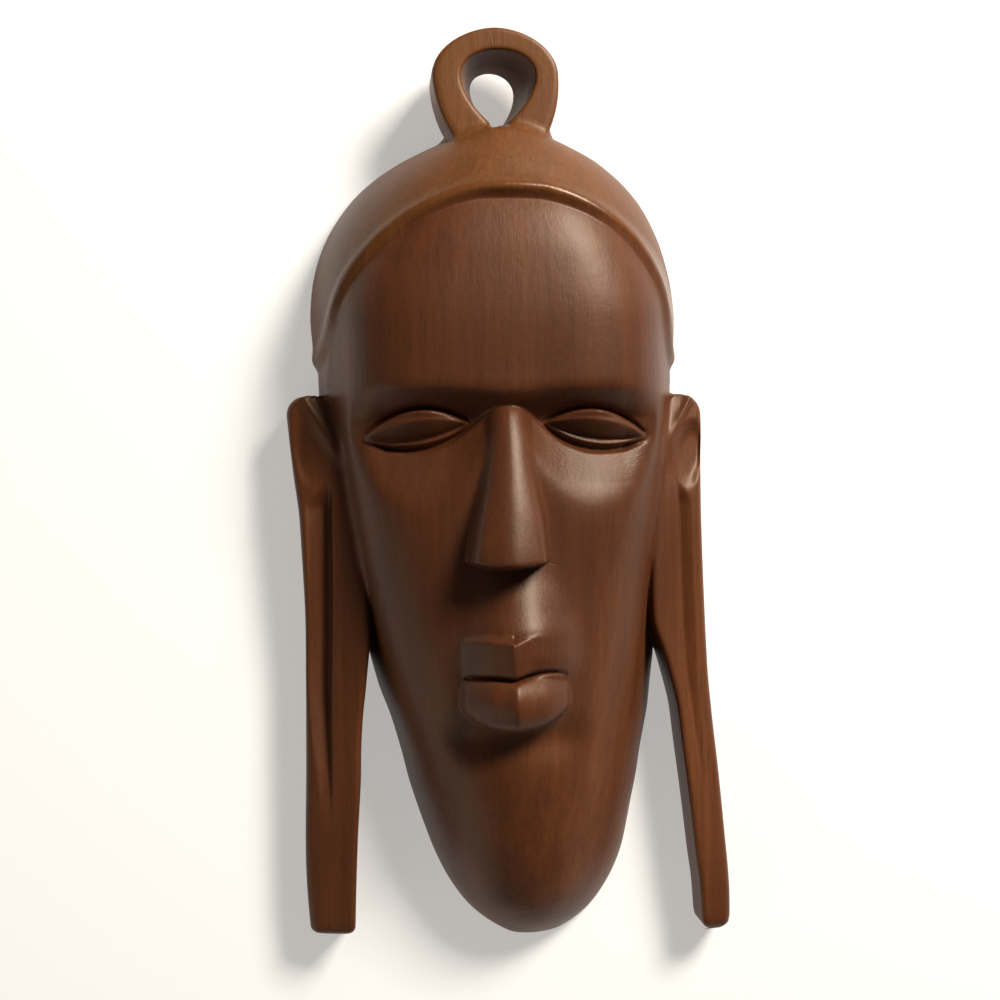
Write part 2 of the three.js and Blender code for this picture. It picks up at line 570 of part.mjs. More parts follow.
// An ear with its lobe, as sections from the free end up. The columns follow the groove's wall.
function ear(shape) {
  const [outerLine, innerLine, wallLine] = [shape.outer, shape.inner, shape.wall].map(curve);
  const r = LOBE_ROUNDING;
  const rings = stretches(EAR_ROWS).map((share) => {
    const y = lerp(shape.end, EAR_TOP, share);
    const toEnd = Math.max(0, shape.rounding - (y - shape.end));
    const shrink = shape.rounding - Math.sqrt(shape.rounding ** 2 - toEnd ** 2);
    const toTop = Math.max(0, EAR_CORNER - (EAR_TOP - y));
    const corner = EAR_CORNER - Math.sqrt(EAR_CORNER ** 2 - toTop ** 2);
    const outer = outerLine(y) - shrink - corner;
    const near = innerLine(y) + shrink;
    const wall = clamp(wallLine(y), near + r + GROOVE_SLOPE, outer - r - 2 * GROOVE_SLOPE);
    const top = earThickness(y) - shrink;
    const tilt = (s) => shape.tilt * (s - LOBE_TILT_FROM);
    const edge = (s, drop) => [s, top - drop - tilt(s)];
    const bevel = r * BEVEL_SHARE;
    const line = [[near, -BACK_CUT], edge(near, r), edge(near + bevel, bevel)];
    const columns = [
      ...stretches([[near + r, wall, COLUMNS_INSIDE_WALL]]),
      ...stretches([[wall + GROOVE_SLOPE, outer - r, COLUMNS_OUTSIDE_WALL]]),
    ];
    for (const s of columns) line.push([s, top + earRelief(s, y, shape, s - wall) - tilt(s)]);
    line.push(edge(outer - bevel, bevel), edge(outer, r), [outer, -BACK_CUT]);
    const ring = line.map(([s, z]) => new THREE.Vector3(shape.side * s + lobeMiddle(y), y, z));
    return shape.side < 0 ? ring.reverse() : ring;
  });
  return loft(rings);
}

// A teardrop hole's edge, pointed at the bottom
function teardrop({ x, middle, halfWidth: a, halfHeight: b, slant }, t) {
  const rise = -b * Math.cos(t);
  const across = a * Math.sin(t) * Math.sin(t / 2) / TEARDROP_WIDEST;
  return new THREE.Vector2(x + across - slant * rise, middle + rise);
}

// The loop's outline at an angle t from the bottom
function loopOutline(t) {
  const up = -Math.cos(t);
  const y = LOOP_WIDEST + up * (up > 0 ? LOOP_RISE : LOOP_FALL);
  const wide = Math.sign(Math.sin(t)) * Math.abs(Math.sin(t)) ** (up > 0 ? LOOP_SHARPNESS : 1);
  return new THREE.Vector2(LOOP_X + LOOP_HALF_WIDTH * wide + LOOP_LEAN * Math.max(0, LOOP_WIDEST - y), y);
}

// The loop as a ring of sections round its hole
function loop() {
  const rings = [];
  for (let i = 0; i < LOOP_STEPS; i++) {
    const t = i / LOOP_STEPS * 2 * Math.PI;
    const outer = loopOutline(t);
    const [front, back] = [HOLE_FRONT, HOLE_BACK].map((hole) => teardrop(hole, t));
    rings.push(LOOP_SECTION.map(([share, height]) => {
      const hole = back.clone().lerp(front, smoothstep(height, ...HOLE_FLARE));
      const { x, y } = outer.clone().lerp(hole, share);
      return new THREE.Vector3(x, y, lerp(LOOP_BACK, LOOP_FRONT, height));
    }));
  }
  const n = LOOP_SECTION.length;
  const geometry = new THREE.BufferGeometry().setFromPoints(rings.flat());
  const index = [];
  for (let r = 0; r < LOOP_STEPS; r++)
    for (let i = 0; i < n; i++) {
      const q = (r + 1) % LOOP_STEPS;
      const j = (i + 1) % n;
      index.push(r * n + i, q * n + i, q * n + j, r * n + i, q * n + j, r * n + j);
    }
  geometry.setIndex(index);
  return geometry;
}

// A slab behind the mask that cuts its back off flat
function backSlab() {
  const slab = new THREE.BoxGeometry(SLAB, SLAB, 4 * BACK_CUT);
  return slab.deleteAttribute('normal').deleteAttribute('uv').translate(0, 0, -2 * BACK_CUT);
}

const wasm = await Module();
wasm.setup();

function solid(geometry) {
  const merged = mergeVertices(geometry, MERGE_DISTANCE);
  return new wasm.Manifold(new wasm.Mesh({
    numProp: 3,
    vertProperties: merged.attributes.position.array,
    triVerts: new Uint32Array(merged.index.array),
  }));
}

function withoutSlivers(positions, triangles) {
  const around = Array.from({ length: positions.length / 3 }, () => new Set());
  const faces = [];
  for (let t = 0; t < triangles.length; t += 3) {
    const face = [...triangles.slice(t, t + 3)];
    for (const v of face) around[v].add(faces.length);
    faces.push(face);
  }
  const corner = (v) => new THREE.Vector3().fromArray(positions, 3 * v);
  const neighbours = (v) => new Set([...around[v]].flatMap((f) => faces[f]).filter((w) => w !== v));
  const draw = (gone, kept) => {
    for (const f of [...around[gone]]) {
      const flat = faces[f].includes(kept);
      if (flat) for (const v of faces[f]) around[v].delete(f);
      else around[kept].add(f);
      faces[f] = flat ? null : faces[f].map((v) => (v === gone ? kept : v));
    }
    around[gone].clear();
  };
  for (let f = 0; f < faces.length; f++)
    for (let k = 0; k < 3 && faces[f]; k++) {
      const [a, b] = [faces[f][k], faces[f][(k + 1) % 3]];
      if (corner(a).distanceTo(corner(b)) > CLOSEST) continue;
      const across = neighbours(b);
      // The surface stays closed only where the two corners have just two neighbours in common
      if ([...neighbours(a)].filter((v) => across.has(v)).length !== 2) continue;
      if (corner(a).z <= corner(b).z) draw(b, a);
      else draw(a, b);
    }
  return faces.filter(Boolean).flat();
}

function carve() {
  const others = [ear(LEFT), ear(RIGHT), loop()];
  const joined = others.reduce((whole, shape) => whole.add(solid(shape)), solid(head()));
  const mesh = joined.subtract(solid(hollow())).subtract(solid(backSlab())).getMesh();
  const geometry = new THREE.BufferGeometry();
  geometry.setAttribute('position', new THREE.BufferAttribute(mesh.vertProperties, 3));
  geometry.setIndex(withoutSlivers(mesh.vertProperties, mesh.triVerts));
  geometry.computeBoundingBox();
  const middle = geometry.boundingBox.getCenter(new THREE.Vector3());
  geometry.translate(-middle.x, -middle.y, 0);
  geometry.computeVertexNormals();
  return geometry;
}

const wood = new THREE.MeshStandardMaterial({ color: 0x5a2f1c, roughness: 0.42, metalness: 0 });
const mask = new THREE.Mesh(carve(), wood);
mask.name = 'mask';

const part = new THREE.Group();
part.add(mask);

export default part;
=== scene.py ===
"""A carved hardwood wall mask lying on its flat back: +Z out of the face, +Y from chin to loop."""
import math

import bpy
import bmesh
import numpy as np
from mathutils import Matrix, Vector


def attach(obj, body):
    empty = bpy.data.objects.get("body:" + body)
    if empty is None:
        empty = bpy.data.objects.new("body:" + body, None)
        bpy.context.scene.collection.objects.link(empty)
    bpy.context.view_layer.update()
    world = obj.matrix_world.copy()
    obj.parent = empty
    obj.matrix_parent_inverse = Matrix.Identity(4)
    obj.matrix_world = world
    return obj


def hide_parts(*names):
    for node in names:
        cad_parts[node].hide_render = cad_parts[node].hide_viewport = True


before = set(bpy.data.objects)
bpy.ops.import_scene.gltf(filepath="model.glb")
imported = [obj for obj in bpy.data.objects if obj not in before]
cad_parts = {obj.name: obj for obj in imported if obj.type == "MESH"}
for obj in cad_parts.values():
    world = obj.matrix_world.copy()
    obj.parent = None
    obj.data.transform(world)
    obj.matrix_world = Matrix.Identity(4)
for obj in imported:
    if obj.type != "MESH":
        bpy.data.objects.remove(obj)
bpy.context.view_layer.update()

MM = 0.001

# Where the middle of the mask's box lies among the measures below, in millimetres across and up
MIDDLE = (3.8, 3.85)

# Heights along the mask in millimetres, from the chin to the loop, with 0 just below the eyes
CHIN = -171
MOUTH = -65.8
NOSE_BASE = -24.3
EYE = 25.8
BROW = 39.5
CAP_EDGE = 114.6
CROWN = 141.0

# The head's outline and profile, as (height along the mask, size)
HALF_WIDTH = [
    (CHIN, 5.5), (-170.3, 9.6), (-168.3, 13.8), (-165.1, 18.8), (-161.7, 22.9), (-156.8, 27.3),
    (-147.2, 33.4), (-137.6, 37.6), (-128, 40.5), (-118.5, 43.1), (-109, 45.6), (-99.5, 47.5),
    (-90, 49.8), (-71, 54.5), (-30, 62), (5, 67), (44, 70.3), (60, 70.5), (71, 71.1), (83, 70.2),
    (91, 68.6), (99, 66.2), (106.6, 62.8), (114.5, 58.1), (122.3, 51.5), (130.2, 41.4), (134.2, 33.6),
    (138.2, 23.6), (139.8, 19), (CROWN, 13),
]
DEPTH = [
    (CHIN, 4.5), (-170.3, 7.4), (-168.5, 12), (-165, 17.8), (-161, 22.5), (-155, 27.8), (-140, 36),
    (-120, 43.5), (-95, 49.5), (-60, 53.5), (-25, 55), (0, 57), (BROW, 60), (66, 61.2), (90, 59.3),
    (104, 56.3), (CAP_EDGE, 52.2), (128, 45.4), (135, 41), (138.5, 38.6), (140, 37), (CROWN, 34),
]
SQUARENESS = [
    (CHIN, 2.2), (-100, 2.5), (-40, 3.4), (0, 4.4), (BROW, 5.4), (66, 5), (95, 3.7), (CROWN, 2.6),
]
SIDE_SLOPE = 0.2
FRONT_BOW = 4.5
BOW_HALF_WIDTH = 60
FRONT_BAND = (0.35, 0.7)

# The middle line leans to the viewer's right in the lower half, less on the front than at the back
BACK_MIDDLE = [
    (CHIN, 12.5), (-160, 12.1), (-142, 11.5), (-119, 9.9), (-100, 9), (-85, 8.3), (-71, 6.6), (-40, 4.6),
    (0, 1.8), (44, 0.3), (60, -0.1), (90, -0.6), (103, -0.2), (115, 0.5), (127, 1.1), (134, 2.2),
    (CROWN, 2.5),
]
FRONT_MIDDLE = [
    (CHIN, 10.8), (-140, 8), (-110, 4.6), (-84, 2), (-66, 1.7), (-52, 1), (NOSE_BASE, 0), (0, 0.6),
    (33, 0.7), (60, 0), (CAP_EDGE, 0.5), (CROWN, 2),
]
LOBE_MIDDLE = -0.8
LOBE_LEAN = 0.044
LEAN_FROM = 40
LEAN_SOFTNESS = 20

# The cap stands proud of the forehead; its edge drops from the middle to the temples
CAP_FRONT = 3.8
CAP_SIDE = 1.6
CAP_DROP = [
    (0, 0), (0.15, 0.3), (0.25, 1.8), (0.35, 4.6), (0.45, 9.4), (0.54, 16.5), (0.61, 24.5), (0.67, 33),
    (0.71, 40), (0.75, 47), (0.8, 52.5), (0.9, 58), (1, 60.6),
]
CAP_PEAK_TURN = 0.03
CAP_STEP = 3.5
CAP_BEAD = 1.3
CAP_BEAD_AT = 1.6
CAP_BEAD_WIDTH = 2.6
CAP_STEP_ROUND = (0.06, 0.25)

# The eye sockets: a recess under a straight brow, a step up at the lower lid and a facet to the cheek
SOCKET_HALF_WIDTH = 58
BROW_EDGE = 41.3
BROW_DIP = 1.8
BROW_DIP_WIDTH = 14
BROW_UNDERSIDE = 10.5
BROW_FADE = (1, 6)
UNDER_BROW_ROUND = (0.16, 0.1)
SOCKET_END_POWER = 8
FACET_DEPTH = 10
FACET_SHORTEST = 6
FACET_ROUND = (0.28, 0.03)
LEDGE_STEP = 2.2
LEDGE_RISE = (-0.3, 1.1)
LEDGE_FADE = (44, 54)
LEDGE = [(4, 33), (8, 31.2), (14, 26), (23, 19.7), (33, 17), (43.5, 17.6), (51, 21.4), (56, 25)]
CHEEK_RIDGE = -1.5
CHEEK_ARCH_INNER = 15
CHEEK_ARCH_OUTER = 12.5
CHEEK_ARCH_HALF = 22
CHEEK_ARCH_LIMIT = 1.3
EYE_X = 33.6
EYE_HALF_LENGTH = 20.2
EYE_UPPER = 7.2
EYE_LOWER = 4.9
EYE_CREST = 0.71
EYE_BULGE = 6.6
EYE_TOP_FALL = 0.26
EYE_CURVES = (0.8, 1.2, 1.3)
EYE_BORDER = (-0.2, 0.7)
EYE_TILT = math.radians(7)
LID_CREASE = (2.2, 0.9, 0.95)
LID_RIM = (1.3, 0, 0.9)
LID_VALLEY = (0.8, 1.7, 0.8)
LID_GROOVE = (1.7, -2, 1)
LID_FADE = 0.35
NEARLY_NONE = 0.0001

# The nose: a wedge with a rounded ridge, a flat front, steep flanks and a flat cut below
NOSE_RIDGE = [
    (-40, 76), (NOSE_BASE, 74.5), (-8, 71.3), (15, 64.3), (29, 59.3), (34, 56), (37, 50), (41, 42),
]
NOSE_FRONT = [(NOSE_BASE, 12.9), (-8, 11.3), (5, 8.8), (20, 7), (33, 5.2), (41, 5)]
NOSE_FLANK = [(NOSE_BASE, 4.8), (-8, 3.8), (5, 2.8), (20, 2), (33, 1.5)]
NOSE_FRONT_FALL = 0.5
NOSE_ROUND = 5.5
NOSE_EDGE = 0.6
NOSE_EDGE_SOFTENING = 0.04
NOSE_SAG = 2
NOSE_HALF_WIDTH = 15
CUT_STEEPNESS = 12
CUT_ROUND = 0.35

# The mouth: two blocks with an upright ridge in the middle, on a mound; pairs are (left, right)
MOUND_RIDGE = [
    (-134, -20), (-120, 20), (-100, 42), (-90, 50), (-70, 59.5), (-56, 65.8), (-50, 66), (-40, 62.3),
    (-30, 58.2), (-20, 54), (-5, 46),
]
MOUND_X = 3
MOUND_BOW = 0.03
MOUND_BLEND = 4
LIP_HALF_WIDTH = (18.2, 19.8)
LIP_RIDGE_FALL = 0.5
LIP_RIDGE_ROUND = 0.8
LIP_SHOULDER = (9.5, 12.5)
LIP_SHOULDER_FALL = 0.5
LIP_SHOULDER_ROUND = 1.6
LIP_END = 2.6
LIP_END_ROUND = 0.8
LIP_CORNER_CURVE = 2.4
LIP_MEETING = 4
LIP_MEETING_ROUND = 0.7
UPPER_LIP_TOP = (-51.4, -49.1)
UPPER_LIP_DIP = (1, 3.3)
UPPER_LIP_DIP_CURVE = 1.3
UPPER_LIP_PEAK_X = 9
UPPER_LIP_CORNER_DROP = (0.8, 8.5)
UPPER_LIP_BEVEL = (1.3, 2.6)
UPPER_LIP_BEVEL_ROUND = 0.5
UPPER_LIP_FRONT = 69.8
UPPER_LIP_FALL = 3
LOWER_LIP_FRONT = 69.8
LOWER_LIP_CROWN = -73.6
LOWER_LIP_CURVE = 0.05
LOWER_LIP_BOTTOM = -84
LOWER_LIP_RISE = 7
LOWER_LIP_RISE_LIMIT = 1.6
LOWER_LIP_UNDERCUT = 5
LOWER_LIP_ROUND = 0.8
MOUTH_RISE = (0.8, 2.8)
MOUTH_WAVE = 2.6
UNDER_LIP = -88.5
UNDER_LIP_DEPTH = 3.2
UNDER_LIP_HALF_HEIGHT = 8
UNDER_LIP_ENDS = (16, 34)
MOUTH_GROOVE = 2.8
MOUTH_GROOVE_WIDTH = 0.85
CARVED_EDGE = 0.7

# The hollow in the back
WALL = 14.5
HOLLOW_TOP = 118
HOLLOW_BOTTOM = -138
HOLLOW_DEPTH = 0.74
HOLLOW_SQUARENESS = 2.6
HOLLOW_ARC = (0.07, 0.93)
HOLLOW_ARC_END = 0.06
HOLLOW_CLOSING = (3, 2.4)

# How far from the lines where the pieces meet the surface is smoothed
JOINT_REACH = 2.6
EAR_JOINT_REACH = 6
EAR_JOINT_FROM = (-45, 0)
ABOVE_EARS = 20
JOINT_SPREAD = 14
EASE_ROUNDS = 50
EASE_SHARE = 0.5
FAR_AWAY = 1e3
BACK_MARGIN = 0.05
MERGE_DISTANCE = 0.04
SHARP_FROM = math.radians(50)

# Everything is joined a little too thick and the back is then cut off flat
BACK_CUT = 4
SLAB_HALF = 200
SLAB_BACK = -20.0

# The ears and their lobes, as (height along the mask, distance from the middle)
EAR_TOP = 40.6
EAR_CORNER = 8
LOBE_END_LEFT = (-166.7, 3.6)
LOBE_END_RIGHT = (-169.3, 5)
LOBE_OUTER_LEFT = [
    (-170, 82.6), (-146, 83.3), (-100, 81), (-69, 79.4), (-38, 78.2), (-8, 78.4), (12, 80),
    (EAR_TOP, 82),
]
LOBE_OUTER_RIGHT = [
    (-170, 80.8), (-153, 81.4), (-129, 80.4), (-106, 79.2), (-82, 77.6), (-65, 76.9), (-32, 76.8),
    (-9, 77), (3, 77.4), (15, 78.1), (26, 79), (EAR_TOP, 79.5),
]
LOBE_INNER_LEFT = [
    (-170, 65.9), (-153, 64.7), (-129, 62.7), (-106, 60.3), (-94, 59.5), (-82, 58.2), (-70.5, 56.4),
    (-45, 53.5), (-10, 56), (EAR_TOP, 58),
]
LOBE_INNER_RIGHT = [
    (-170, 69.4), (-153, 69.1), (-141, 68.1), (-117.5, 66.5), (-94, 64.6), (-82, 63.7), (-70.5, 61.5),
    (-62, 59.5), (-45, 55), (-10, 56), (EAR_TOP, 58),
]
EAR_THICKNESS = [(-170, 21), (-140, 22.5), (-60, 23.5), (0, 26.4), (20, 25.2), (EAR_TOP, 23.4)]
LOBE_ROUNDING = 2.4
LOBE_ROUNDING_STEPS = 7
WALL_MARGINS = (1, 3)
LOBE_TILT = (0.24, 0.3)
LOBE_TILT_FROM = 66
GROOVE_START = 4
GROOVE_START_FADE = (-7, 5)
GROOVE_NARROWEST = 0.35
GROOVE_ROUND = 0.12
GROOVE_WALL_EDGE = -0.2
GROOVE_WALL_LEFT = [(-136, 72.3), (-114, 71.4), (-76, 69.7), (-38, 67.3), (0, 65.6), (9, 65.2)]
GROOVE_WALL_RIGHT = [
    (-122, 72.6), (-102, 70.5), (-78, 68.2), (-55, 66.9), (-16, 67.2), (0, 67.4), (9, 66.5),
]
GROOVE_WIDTH = (10, 5.5)
GROOVE_DEPTH = (4.6, 3.7)
GROOVE_CURVE = (2, 1)
GROOVE_SLOPE = 1.1
GROOVE_FADE = 75
BOWL_X = 72.8
BOWL_Y = 16.5
BOWL_HALF_WIDTH = 7.8
BOWL_HALF_HEIGHT = 15
BOWL_SLANT = 0.24
BOWL_DEPTH = (1.2, 3.6)
BOWL_DEPTH_ACROSS = 0.4
BOWL_EDGE = 0.8
FOLD_TOP = (75, 39.5)
FOLD_FOOT = (61, 16.5)
FOLD_FOOT_FADE = (-6, 4)
EAR_FILLET = 0.9
EAR_FILLET_FROM = 63
EAR_FILLET_WIDTH = 8.5
FOLD_HALF_WIDTH = (2.6, 1.3)
FOLD_HEIGHT = 1.5
EAR_POCKET = 2.2
EAR_POCKET_WIDTH = 9

# The hanging loop: an egg-shaped outline with a teardrop hole that narrows to the back
LOOP_X = -1.3
LOOP_WIDEST = 160.4
LOOP_HALF_WIDTH = 24.1
LOOP_RISE = 18.3
LOOP_FALL = 34
LOOP_SHARPNESS = 1.1
LOOP_BACK = 12
LOOP_FRONT = 36.6
LOOP_LEAN = 0.06
HOLE_FRONT = (-0.2, 154.9, 14, 15.2, 0)
HOLE_BACK = (-0.9, 154.0, 8.4, 11.8, 0.11)
TEARDROP_WIDEST = 0.7698
HOLE_FLARE_FROM = 0.05
HOLE_FLARE_SPAN = 0.82

# The loop's section, as (hole, share of the way from the outside to the hole, share of the height)
LOOP_SECTION = [
    ("back", 0.12, 0), ("back", 0.03, 0.03), ("front", 0, 0.09), ("front", 0, 0.3), ("front", 0, 0.55),
    ("front", 0, 0.8), ("front", 0.01, 0.93), ("front", 0.04, 0.98), ("front", 0.1, 0.998),
    ("front", 0.25, 1), ("front", 0.45, 1), ("front", 0.65, 1), ("front", 0.82, 1),
    ("front", 0.91, 0.995), ("front", 0.965, 0.975), ("front", 0.99, 0.94), ("front", 1, 0.88),
    ("between", 1, 0.65), ("between", 1, 0.4), ("back", 1, 0.15), ("back", 0.97, 0.03), ("back", 0.9, 0),
]

# Above this height the rows bend to follow the cap's edge
CAP_ROWS_FROM = 46

# How finely the surface is divided, as (from, to, steps)
HEAD_ROWS = [
    (CHIN, -168, 9), (-168, -160, 10), (-160, -92, 28), (-92, -47, 80), (-47, -27, 22),
    (-27, -21.5, 20), (-21.5, 12, 22), (12, 38, 64), (38, CAP_ROWS_FROM, 12),
    (CAP_ROWS_FROM, CAP_EDGE - 8, 22), (CAP_EDGE - 8, CAP_EDGE + 4, 24), (CAP_EDGE + 4, CROWN, 20),
]
HEAD_COLUMNS = [(0, 12, 20), (12, 52, 82), (52, 80, 22), (80, 90, 5)]
EAR_ROWS = [(0, 0.015, 5), (0.015, 0.75, 60), (0.75, 0.95, 44), (0.95, 1, 14)]
COLUMNS_INSIDE_WALL = 10
WALL_COLUMNS = [-0.25, 0, 0.3, 0.6, 0.9, 1.2]
COLUMNS_OUTSIDE_WALL = 16
HOLLOW_ROWS = 40
HOLLOW_COLUMNS = 40
LOOP_STEPS = 96

HEAD, EAR, LOOP, HOLLOW, BACK = range(5)


def curve(points):
    """A smooth line through the points, level at each high or low point and held beyond the ends.
    It is a cubic from point to point, its slope at one the harmonic mean of those on either side."""
    x, y = np.array(points, float).T
    rise = np.diff(y) / np.diff(x)
    turning = rise[:-1] * rise[1:]
    slope = np.concatenate([rise[:1], np.zeros(len(x) - 2), rise[-1:]])
    same = turning > 0
    slope[1:-1][same] = 2 * turning[same] / (rise[:-1] + rise[1:])[same]

    def at(v):
        v = np.clip(v, x[0], x[-1])
        i = np.clip(np.searchsorted(x, v) - 1, 0, len(x) - 2)
        step = x[i + 1] - x[i]
        t = (v - x[i]) / step
        ends = (1 + 2 * t) * (1 - t) ** 2 * y[i] + t * t * (3 - 2 * t) * y[i + 1]
        return ends + t * (1 - t) * step * ((1 - t) * slope[i] - t * slope[i + 1])

    return at


def stretches(listed):
    """Evenly spaced values over each (from, to, steps) stretch, without repeating the joints."""
    parts = [np.linspace(start, end, steps, endpoint=False) for start, end, steps in listed]
    return np.concatenate(parts + [[listed[-1][1]]])


def smoothstep(v, low, high):
    """0 below low and 1 above high, by t squared times 3 - 2t between."""
    t = np.clip((v - low) / (high - low), 0, 1)
    return t * t * (3 - 2 * t)


def soft_max(a, b, width):
    """The larger height, rounded: half of their sum and the hypotenuse of difference and width."""
    return (a + b + np.hypot(a - b, width)) / 2


def soft_ramp(t, width):
    """0 below 0 and t above it, rounded: half of t and the hypotenuse of t and the width."""
    return (t + np.hypot(t, width)) / 2


def hump(t):
    """e^-t^2, which is 1 at 0 and fades out on both sides."""
    return np.exp(-t * t)


def rounded_fall(x, radius):
    """How far a rounded ridge has fallen at x: the hypotenuse of x and the radius, less the radius."""
    return np.hypot(x, radius) - radius


def lobe_middle(y):
    """The lobes' middle line: upright above LEAN_FROM and leaning evenly below it."""
    return LOBE_MIDDLE + LOBE_LEAN * soft_ramp(LEAN_FROM - y, LEAN_SOFTNESS)


half_width, depth, squareness = curve(HALF_WIDTH), curve(DEPTH), curve(SQUARENESS)
nose_ridge, nose_front, nose_flank = curve(NOSE_RIDGE), curve(NOSE_FRONT), curve(NOSE_FLANK)
mound_ridge, ledge, cap_drop = curve(MOUND_RIDGE), curve(LEDGE), curve(CAP_DROP)
back_middle, front_middle, ear_thickness = curve(BACK_MIDDLE), curve(FRONT_MIDDLE), curve(EAR_THICKNESS)


def socket(s, y):
    """How far the face lies back in the socket: level under the brow down to the lid's ledge, a step
    less below it, then rising evenly to the arched cheek ridge."""
    brow = BROW_EDGE - BROW_DIP * hump(s / BROW_DIP_WIDTH)
    fall = (brow - y) / BROW_UNDERSIDE
    under = soft_ramp(fall, UNDER_BROW_ROUND[0]) - soft_ramp(fall - 1, UNDER_BROW_ROUND[1])
    arch = np.where(s < EYE_X, CHEEK_ARCH_INNER, CHEEK_ARCH_OUTER)
    from_eye = np.minimum(CHEEK_ARCH_LIMIT, np.abs(s - EYE_X) / CHEEK_ARCH_HALF)
    ridge = CHEEK_RIDGE + arch * from_eye ** 2
    edge = ledge(s)
    up = (y - ridge) / np.maximum(FACET_SHORTEST, edge - ridge)
    facet = soft_ramp(up, FACET_ROUND[0]) - soft_ramp(up - 1, FACET_ROUND[1])
    on_ledge = smoothstep(y, edge + LEDGE_RISE[0], edge + LEDGE_RISE[1])
    step = LEDGE_STEP * on_ledge * (1 - smoothstep(s, *LEDGE_FADE))
    across = 1 - np.minimum(1, s / SOCKET_HALF_WIDTH) ** SOCKET_END_POWER
    return across * under * (FACET_DEPTH * facet + step)


def eye(s, y):
    """The downcast eye between two arcs: a lens with a high crest, a crease above it, a thin lower lid
    and a groove below. Each line is a depth times e^-(distance / width)^2, fading out at the corners."""
    u = (s - EYE_X) * math.cos(EYE_TILT) - (y - EYE) * math.sin(EYE_TILT)
    v = (s - EYE_X) * math.sin(EYE_TILT) + (y - EYE) * math.cos(EYE_TILT)
    along = 1 - (u / EYE_HALF_LENGTH) ** 2
    inside = along > 0
    along = np.where(inside, along, NEARLY_NONE)
    upper, lower = EYE_UPPER * along, EYE_LOWER * along
    share = (v + lower) / (upper + lower)
    below = np.clip(1 - share / EYE_CREST, 0, 1)
    above = np.clip((share - EYE_CREST) / (1 - EYE_CREST), 0, 1)
    ends, under, over = EYE_CURVES
    lens = EYE_BULGE * along ** ends * (1 - below ** under) * (1 - EYE_TOP_FALL * above ** over)
    lens *= 1 - smoothstep(v, upper + EYE_BORDER[0], upper + EYE_BORDER[1])
    fade = along ** LID_FADE

    def line(kind, distance):
        size, off, width = kind
        return size * fade * hump((distance - off * fade) / width)

    low = v + lower
    lower_lid = line(LID_RIM, low) - line(LID_GROOVE, low) - line(LID_VALLEY, low)
    return np.where(inside, lens + lower_lid - line(LID_CREASE, v - upper), 0)


def nose(s, y):
    """A ridge that falls gently over the front, then steeply down the flank, and is cut off below."""
    edge = NOSE_EDGE + NOSE_EDGE_SOFTENING * np.maximum(0, y - NOSE_BASE)
    side = nose_flank(y) * soft_ramp(s - nose_front(y), edge)
    cut = NOSE_BASE + NOSE_SAG * (s / NOSE_HALF_WIDTH) ** 2
    under = CUT_STEEPNESS * soft_ramp(cut - y, CUT_ROUND)
    return nose_ridge(y) - NOSE_FRONT_FALL * rounded_fall(s, NOSE_ROUND) - side - under


def mound(x, y):
    """The swelling under the mouth: its ridge less a parabola across."""
    return mound_ridge(y) - MOUND_BOW * (x - MOUND_X) ** 2


def of_side(pair, side):
    """The left or right value of a pair, where side is -1 or 1."""
    return np.where(side < 0, pair[0], pair[1])


def mouth_line(s, side):
    """The height of the line between the lips, which rises and falls as a sine on each side."""
    wave = np.sin(MOUTH_WAVE * np.minimum(1, s / of_side(LIP_HALF_WIDTH, side)))
    return MOUTH + of_side(MOUTH_RISE, side) * wave


def lip_side(s, side):
    """Both lips fall from an upright ridge to a shoulder, then faster, and end on steep planes."""
    front = LIP_RIDGE_FALL * rounded_fall(s, LIP_RIDGE_ROUND)
    shoulder = LIP_SHOULDER_FALL * soft_ramp(s - of_side(LIP_SHOULDER, side), LIP_SHOULDER_ROUND)
    return front + shoulder + LIP_END * soft_ramp(s - of_side(LIP_HALF_WIDTH, side), LIP_END_ROUND)


def upper_lip(s, y, side):
    """A front that falls evenly down from its top, less two planes that start at the lip's peaked top
    and at the line of the mouth and fall away evenly past them."""
    top = of_side(UPPER_LIP_TOP, side)
    from_peak = 1 - np.minimum(1, s / UPPER_LIP_PEAK_X)
    dip = of_side(UPPER_LIP_DIP, side) * from_peak ** UPPER_LIP_DIP_CURVE
    outer_width = of_side(LIP_HALF_WIDTH, side) + 1 - UPPER_LIP_PEAK_X
    outer = np.maximum(0, s - UPPER_LIP_PEAK_X) / outer_width
    above = y - (top - dip - of_side(UPPER_LIP_CORNER_DROP, side) * outer ** LIP_CORNER_CURVE)
    below = mouth_line(s, side) - y
    fall = UPPER_LIP_FALL * np.clip((top - y) / (top - MOUTH), 0, 1)
    bevel = of_side(UPPER_LIP_BEVEL, side) * soft_ramp(above, UPPER_LIP_BEVEL_ROUND)
    cuts = bevel + LIP_MEETING * soft_ramp(below, LIP_MEETING_ROUND)
    return UPPER_LIP_FRONT - fall - lip_side(s, side) - cuts


def lower_lip(s, y, side):
    """A front that bows as a parabola, less two planes that start at the mouth and the rising bottom."""
    rise = np.minimum(LOWER_LIP_RISE_LIMIT, (s / LIP_HALF_WIDTH[1]) ** LIP_CORNER_CURVE)
    edge = LOWER_LIP_BOTTOM + LOWER_LIP_RISE * rise
    front = LOWER_LIP_FRONT - LOWER_LIP_CURVE * (y - LOWER_LIP_CROWN) ** 2
    meeting = LIP_MEETING * soft_ramp(y - mouth_line(s, side), LIP_MEETING_ROUND)
    cuts = meeting + LOWER_LIP_UNDERCUT * soft_ramp(edge - y, LOWER_LIP_ROUND)
    return front - lip_side(s, side) - cuts


